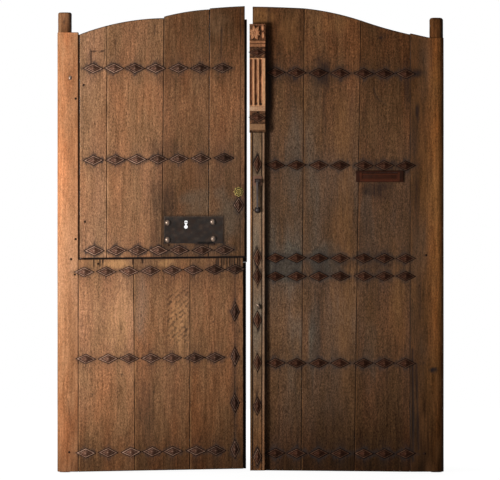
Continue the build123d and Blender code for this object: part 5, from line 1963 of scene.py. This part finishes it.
RIGHT_BOARDS = (
    # The dark strips at x 82 and 92, along the astragal and the capital, are their painted shadow.
    Board("right_plank_1", (10.7, 11.0), (263.0, 8.5), (10.7, 2422.3), 2419.4, (279.4, 2413.5), (0.26, 0.53,
                 0.94, 0.59, 0.81, 0.54), (0.135, 0.435, 0.565, 0.575, 0.305, 0.06), halo=1.8, soak=0.6,
          seed=8.1, spots=(Spot((92, 2000), (24, 440), 0.9), Spot((82, 900), (10, 900), 0.85),
                 Spot((110, 2079), (50, 60), 0.6), Spot((210, 2060), (60, 46), 0.4),
                 Spot((190, 1075), (130, 90), 0.42), Spot((150, 2180), (24, 6), 0.4)),
          greys=(Spot((225, 1500), (90, 560), 0.68), Spot((230, 620), (60, 420), 0.7),
                 Spot((190, 1100), (130, 170), 1.0)), lights=(Spot((60, 2370), (90, 60), 0.6),
                 Spot((200, 2300), (60, 120), 0.3))),
    Board("right_plank_2", (263.0, 8.5), (539.1, 5.8), (279.4, 2413.5), 2390.3, (573.3, 2350.7), (0.19,
                 0.50, 0.79, 0.63, 0.89, 0.86), (0.135, 0.385, 0.435, 0.395, 0.215, 0.04), halo=1.8,
          soak=0.6, seed=9.6, spots=(Spot((376, 2075), (46, 110), 0.75), Spot((480, 2080), (70, 50), 0.4),
                 Spot((330, 2080), (70, 60), 0.35), Spot((400, 1075), (150, 90), 0.42),
                 Spot((385, 1870), (18, 190), 0.35), Spot((345, 760), (40, 180), 0.35)),
          greys=(Spot((320, 1500), (60, 600), 0.7), Spot((330, 700), (50, 420), 0.7),
                 Spot((380, 1100), (130, 150), 0.9)), lights=(Spot((488, 1080), (66, 760), 0.26),
                 Spot((480, 1780), (50, 260), 0.28), Spot((420, 2330), (120, 50), 0.25))),
    Board("right_plank_3", (539.1, 5.8), (830.0, 3.0), (573.3, 2350.7), 2309.9, (830.0, 2277.5), (0.19,
                 0.44, 0.70, 0.65, 0.80, 0.53), (0, 0.165, 0.265, 0.305, 0.165, 0.03), halo=1.8, soak=0.6,
          seed=10.2, marks=(Split((640, 1999), (652, 1958), 2.6, 2.0, 0.7),
                 Split((652, 1958), (676, 1930), 2.6, 2.0, 0.7),
                 Split((676, 1930), (704, 1912), 2.4, 1.6, 0.55)),
          spots=(Spot((676, 2261), (17, 14), 0.6, 1.0), Spot((690, 2268), (34, 28), 0.3),
                 Spot((650, 1472), (105, 66), 0.72), Spot((600, 1300), (40, 220), 0.35),
                 Spot((700, 1590), (140, 50), 0.45), Spot((690, 1100), (140, 60), 0.32),
                 Spot((812, 1990), (14, 150), 0.5)), greys=(Spot((610, 1250), (60, 300), 0.5),
                 Spot((620, 640), (60, 240), 0.5)), lights=(Spot((770, 900), (50, 330), 0.25),)),
)

LEFT_STILE_PIECE = Stile( "left_pivot_stile", -1, -967.0, -896.0, 2289.0, 2289.0, 2393.0, (0.24, 0.43, 0.69,
           0.55), (0.26, 0.56, 0.89, 0.71), 0.19, 0.02, 0.12, bleach=0.4, seed=21.0, tongue=(-889.7, 1108.0,
           2277.0), spots=(Spot((-970, 2342), (6, 16), 0.6), Spot((-909.7, 1943.7), (5, 6), 0.75),
           Spot((-967.5, 1633), (5, 5), 0.6), Spot((-909.7, 1213.7), (5, 6), 0.8),
           Spot((-933.6, 1109), (6, 6), 0.5), Spot((-943.5, 105), (6, 6), 0.75)),
    marks=(Split((-1001, 1495), (-970, 1452), 2.6, 1.2, 0.4),
           Split((-950, 380), (-936, 250), 2.2, 1.0, 0.35)))
RIGHT_STILE_PIECE = Stile( "right_pivot_stile", 1, 967.0, 830.0, 2282.5, 2261.5, 2365.5, (0.11, 0.33, 0.71,
           0.49), (0.17, 0.44, 1.31, 1.00), 0.50, 0.0, 0.45, seed=24.0, pintle_round=13.0,
    spots=(Spot((912.9, 1129), (6, 7), 0.9), Spot((898.8, 1027.5), (5, 5), 0.8),
           Spot((903, 566.8), (6, 6), 0.85), Spot((950.8, 532.5), (24, 15), 1.0),
           Spot((905, 97.2), (6, 6), 0.8), Spot((868, 2075), (46, 26), 0.75),
           Spot((866, 1874), (16, 60), 0.75), Spot((856, 1500), (26, 420), 0.45)),
    marks=(Split((845, 60), (843, 640), 4.2, 2.6, 1.0), Split((872, 120), (862, 560), 3.8, 2.2, 0.9),
           Split((880, 800), (884, 1150), 2.6, 1.4, 0.5), Split((872, 1250), (880, 1480), 2.4, 1.2, 0.45)))



def on_face(centres: Array, depth: float) -> Array:
    """Points of studs or nails at one depth."""
    return np.stack([centres[:, 0], np.full(len(centres), depth), centres[:, 1]], axis=1)


@dataclass(frozen=True)
class StudSet:
    """Studs of one node, darker from the first to the last across the leaf: painted falloff of the light from
    the left, with dirt.
    """

    node: str
    body: Bodies
    finish: MetalFinish
    bright: float
    ends: Point
    seed: int
    drawn: float = 1.0
    face: float = PLANK_FRONT

    def build(self, setting: Setting) -> Array:
        """Set the studs.

        Args:
            setting: tool that sets forged heads.

        Returns:
            The centres and half sizes of the studs.
        """
        centres = stud_centres(self.node)
        across = centres[:, 0]
        size = (2 * self.drawn * centres[0, 2] * MM, 1.0, 2 * centres[0, 3] * MM)
        # Painted falloff of the light, with dirt: each head darker towards the right.
        shades = np.interp(across, (across.min(), across.max() + 1), self.ends)
        shades = shades * (1 + 0.2 * np.sin(2.3 * np.arange(len(across))))
        setting.set(self.node + "_forged", lozenge_head(self.bright), on_face(centres, self.face), self.body,
                    self.finish, "stud_iron", [self.node], size, spread_share=0.0, seed=self.seed,
                    shades=shades)
        return centres


STUD_SETS = (
    StudSet("hatch_stud_rows", Bodies.HATCH, STUD_IRON, 0.85, (1.15, 0.36), 11, 1.03),
    StudSet("hatch_edge_stud", Bodies.HATCH, STUD_IRON, 1.0, (0.46, 0.46), 12),
    StudSet("lower_stud_rows", Bodies.LEFT, STUD_IRON, 0.75, (1.2, 0.32), 13, 1.02),
    StudSet("lower_edge_studs", Bodies.LEFT, STUD_IRON, 0.7, (0.42, 0.42), 14),
    StudSet("right_stud_rows", Bodies.RIGHT, STUD_RUST, 0.5, (1.05, 1.05), 15),
    StudSet("astragal_studs", Bodies.RIGHT, STUD_RUST, 0.7, (1.25, 1.25), 16, face=ASTRAGAL_FRONT),
    StudSet("capital_studs", Bodies.RIGHT, STUD_RUST, 0.5, (1.3, 1.3), 17, face=CAPITAL_FRONT + 6.0),
)
SMALL_NAILS = {
    Bodies.LEFT: ((-909.7, PLANK_FRONT + 1, 1943.7), (-909.7, PLANK_FRONT + 1, 1213.7),
                  (-933.6, PLANK_FRONT + 1, 1109.2), (-943.5, PLANK_FRONT + 1, 105.0),
                  (-793.0, PLANK_FRONT + 2, 1085.0), (-914.0, PLANK_FRONT + 1, 1029.0)),
    Bodies.HATCH: ((-868.1, PLANK_FRONT + 2, 2015.0), (-861.9, PLANK_FRONT + 2, 1303.1),
                   (-426.7, PLANK_FRONT + 2, 1182.5), (-190.1, PLANK_FRONT + 2, 1187.7)),
    Bodies.RIGHT: ((34.6, CAPITAL_FRONT + 7, 1917.2), (54.3, CAPITAL_FRONT + 7, 1913.1),
                   (12.7, ASTRAGAL_FRONT + 3, 1364.5), (905.0, PLANK_FRONT + 1, 97.2),
                   (912.9, PLANK_FRONT + 1, 1129.0)),
}
EASED = (
    EasedNode("left_heel_pin", Bodies.SILL),
    EasedNode("right_heel_pin", Bodies.SILL),
    EasedNode("hinge_pintle_upper", Bodies.LEFT, 1.0),
    EasedNode("hinge_pintle_lower", Bodies.LEFT, 1.0),
    EasedNode("hinge_strap_upper", Bodies.HATCH, 1.2),
    EasedNode("hinge_strap_lower", Bodies.HATCH, 1.2),
    EasedNode("lock_case", Bodies.HATCH, 0.9),
    EasedNode("latch_case", Bodies.HATCH, 0.6, 0.9),
    EasedNode("lock_bolt", Bodies.BOLT, 0.5, 1.3),
    EasedNode("cylinder_plug", Bodies.PLUG, 0.4, finish=OLD_BRASS, slot="old_brass"),
    EasedNode("knocker_staple", Bodies.RIGHT, 0.8, 0.8, PLATE_IRON, seat=(ASTRAGAL_FRONT - 4.6, 4.2)),
    EasedNode("knocker_striker", Bodies.RIGHT, 0.6, 0.9, PLATE_IRON),
    EasedNode("knocker_hammer", Bodies.KNOCKER, 0.6, 0.5),
    EasedNode("bolt_keeper", Bodies.RIGHT, 0.9),
    EasedNode("letter_plate", Bodies.RIGHT, 0.8, 0.38, finish=RED_PAINT, slot="red_paint"),
    EasedNode("letter_flap", Bodies.FLAP, 0.5, 0.48, finish=RED_PAINT, slot="red_paint"),
)


def set_ironwork(setting: Setting) -> dict[Bodies, Studs]:
    """Set every stud and nail, and note where the studs stain the wood.

    Args:
        setting: the tree that sets them.

    Returns:
        The studs of each body.
    """
    found: dict[Bodies, Studs] = {body: Studs() for body in Bodies}
    for studs in STUD_SETS:
        found[studs.body].add(studs.build(setting))
    nails = on_face(stud_centres("lock_plate_nails"), PLANK_FRONT - 3.0)
    setting.set("lock_plate_nails_domed", domed_head(16.0, 9.5, 0.7), nails, Bodies.HATCH, NAIL_IRON,
                "plate_iron", ["lock_plate_nails"], spread_share=0.0, hammering=0.8, seed=18)
    bright_nail = np.array([(-937.9, PLANK_FRONT + 1, 2052.4)])
    setting.set("left_leaf_bright_nail", domed_head(9.0, 4.0, 1.0, 1.6), bright_nail, Bodies.LEFT, NAIL_IRON,
                "forged_iron", size=(1.0, 1.0, 1.4), hammering=0.8, seed=39)
    for number, (body, small) in enumerate(SMALL_NAILS.items()):
        setting.set(f"{body.value}_small_nails", domed_head(6.0, 3.0, 0.04, 0.5), np.array(small), body,
                    STUD_IRON, "stud_iron", hammering=0.8, seed=40 + number)
    return found


def clinch_backs(setting: Setting, studs: dict[Bodies, Studs]) -> None:
    """Bend the ends of the stud nails over on the backs of the ledges.

    Args:
        setting: the tree that sets them.
        studs: the studs of each body.
    """
    clear: dict[Bodies, Callable[[float, float], bool]] = {
        Bodies.HATCH: lambda x, z: x < -120 and (x > -445 or 1500 < z < 1800),
        Bodies.LEFT: lambda x, z: x > -885,
        Bodies.RIGHT: lambda x, z: x > 90 and z < 2200,
    }
    for number, (body, free) in enumerate(clear.items()):
        row = [(x, FRAMING_BACK - 2.0, z) for x, z, half_x, half_z in studs[body].places
               if half_x > half_z and free(x, z)]
        setting.set(f"{body.value}_clinched_nails", clinched_end(24.0, 5.0), np.array(row), body, FORGED_IRON,
                    "forged_iron", turn=25.0, spread_share=0.12, hammering=1.0, seed=60 + number)


def frame_backs() -> None:
    """Build the ledges and battens."""
    framing = Framing()
    for place in ("top", "middle", "bottom"):
        framing.build(f"hatch_ledge_{place}", Bodies.HATCH)
        framing.build(f"lower_ledge_{place}", Bodies.LEFT)
    for number in range(1, 7):
        framing.build(f"right_ledge_{number}", Bodies.RIGHT)
    framing.build("lower_meeting_batten", Bodies.LEFT)
    low, high = (np.array(v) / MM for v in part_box("lock_bolt"))
    slot = box_cutter((low[0] - 5, low[1] - 0.3, low[2] - 0.3), (high[0] + 20, high[1] + 0.3, high[2] + 0.3))
    bore = round_cutter(CylinderRose.place, BARREL_BORE, PLANK_BACK - 10, FRAMING_BACK + 10)
    framing.build("hatch_meeting_batten", Bodies.HATCH, (slot, bore))


def main() -> None:
    """Build the pair piece by piece and set up the studio."""
    logging.basicConfig(level=logging.INFO, format="%(message)s")
    setting = Setting(setting_tree())
    studs = set_ironwork(setting)
    keyhole = keyhole_cutter(2.0, PLANK_FRONT - 20, PLANK_BACK + 20)
    (x, z), (width, height) = LetterBead.place, LetterBead.window
    letter_slot = box_cutter((x - width / 2, PLANK_FRONT - 20, z - height / 2),
                             (x + width / 2, PLANK_BACK + 20, z + height / 2))
    bore = round_cutter(CylinderRose.place, BARREL_BORE, PLANK_FRONT - 10, PLANK_BACK + 10)
    leaves = (
        Leaf(Bodies.HATCH, HATCH_BOARDS, HATCH, "hatch_wood",
             cuts={"hatch_plank_3": (keyhole,), "hatch_plank_4": (bore,)}),
        Leaf(Bodies.LEFT, LOWER_BOARDS, LOWER, "lower_wood", LEFT_STILE_PIECE, LEFT_STILE, "left_stile_wood"),
        Leaf(Bodies.RIGHT, RIGHT_BOARDS, RIGHT, "right_wood", RIGHT_STILE_PIECE, RIGHT_STILE,
             "right_stile_wood", cuts={"right_plank_3": (letter_slot,)}),
    )
    for leaf in leaves:
        leaf.build(studs[leaf.body])
    frame_backs()
    clinch_backs(setting, studs)
    Capital().build()
    Astragal().build(studs[Bodies.RIGHT])
    add_piece(bent_nail(), "astragal_bent_nail", Bodies.RIGHT, NAIL_IRON)
    LockPlate().build()
    CylinderRose().build()
    for piece in EASED:
        piece.build()
    FlapRim().build()
    LetterBead().build()
    Studio().build()


if __name__ == "__main__":
    main()
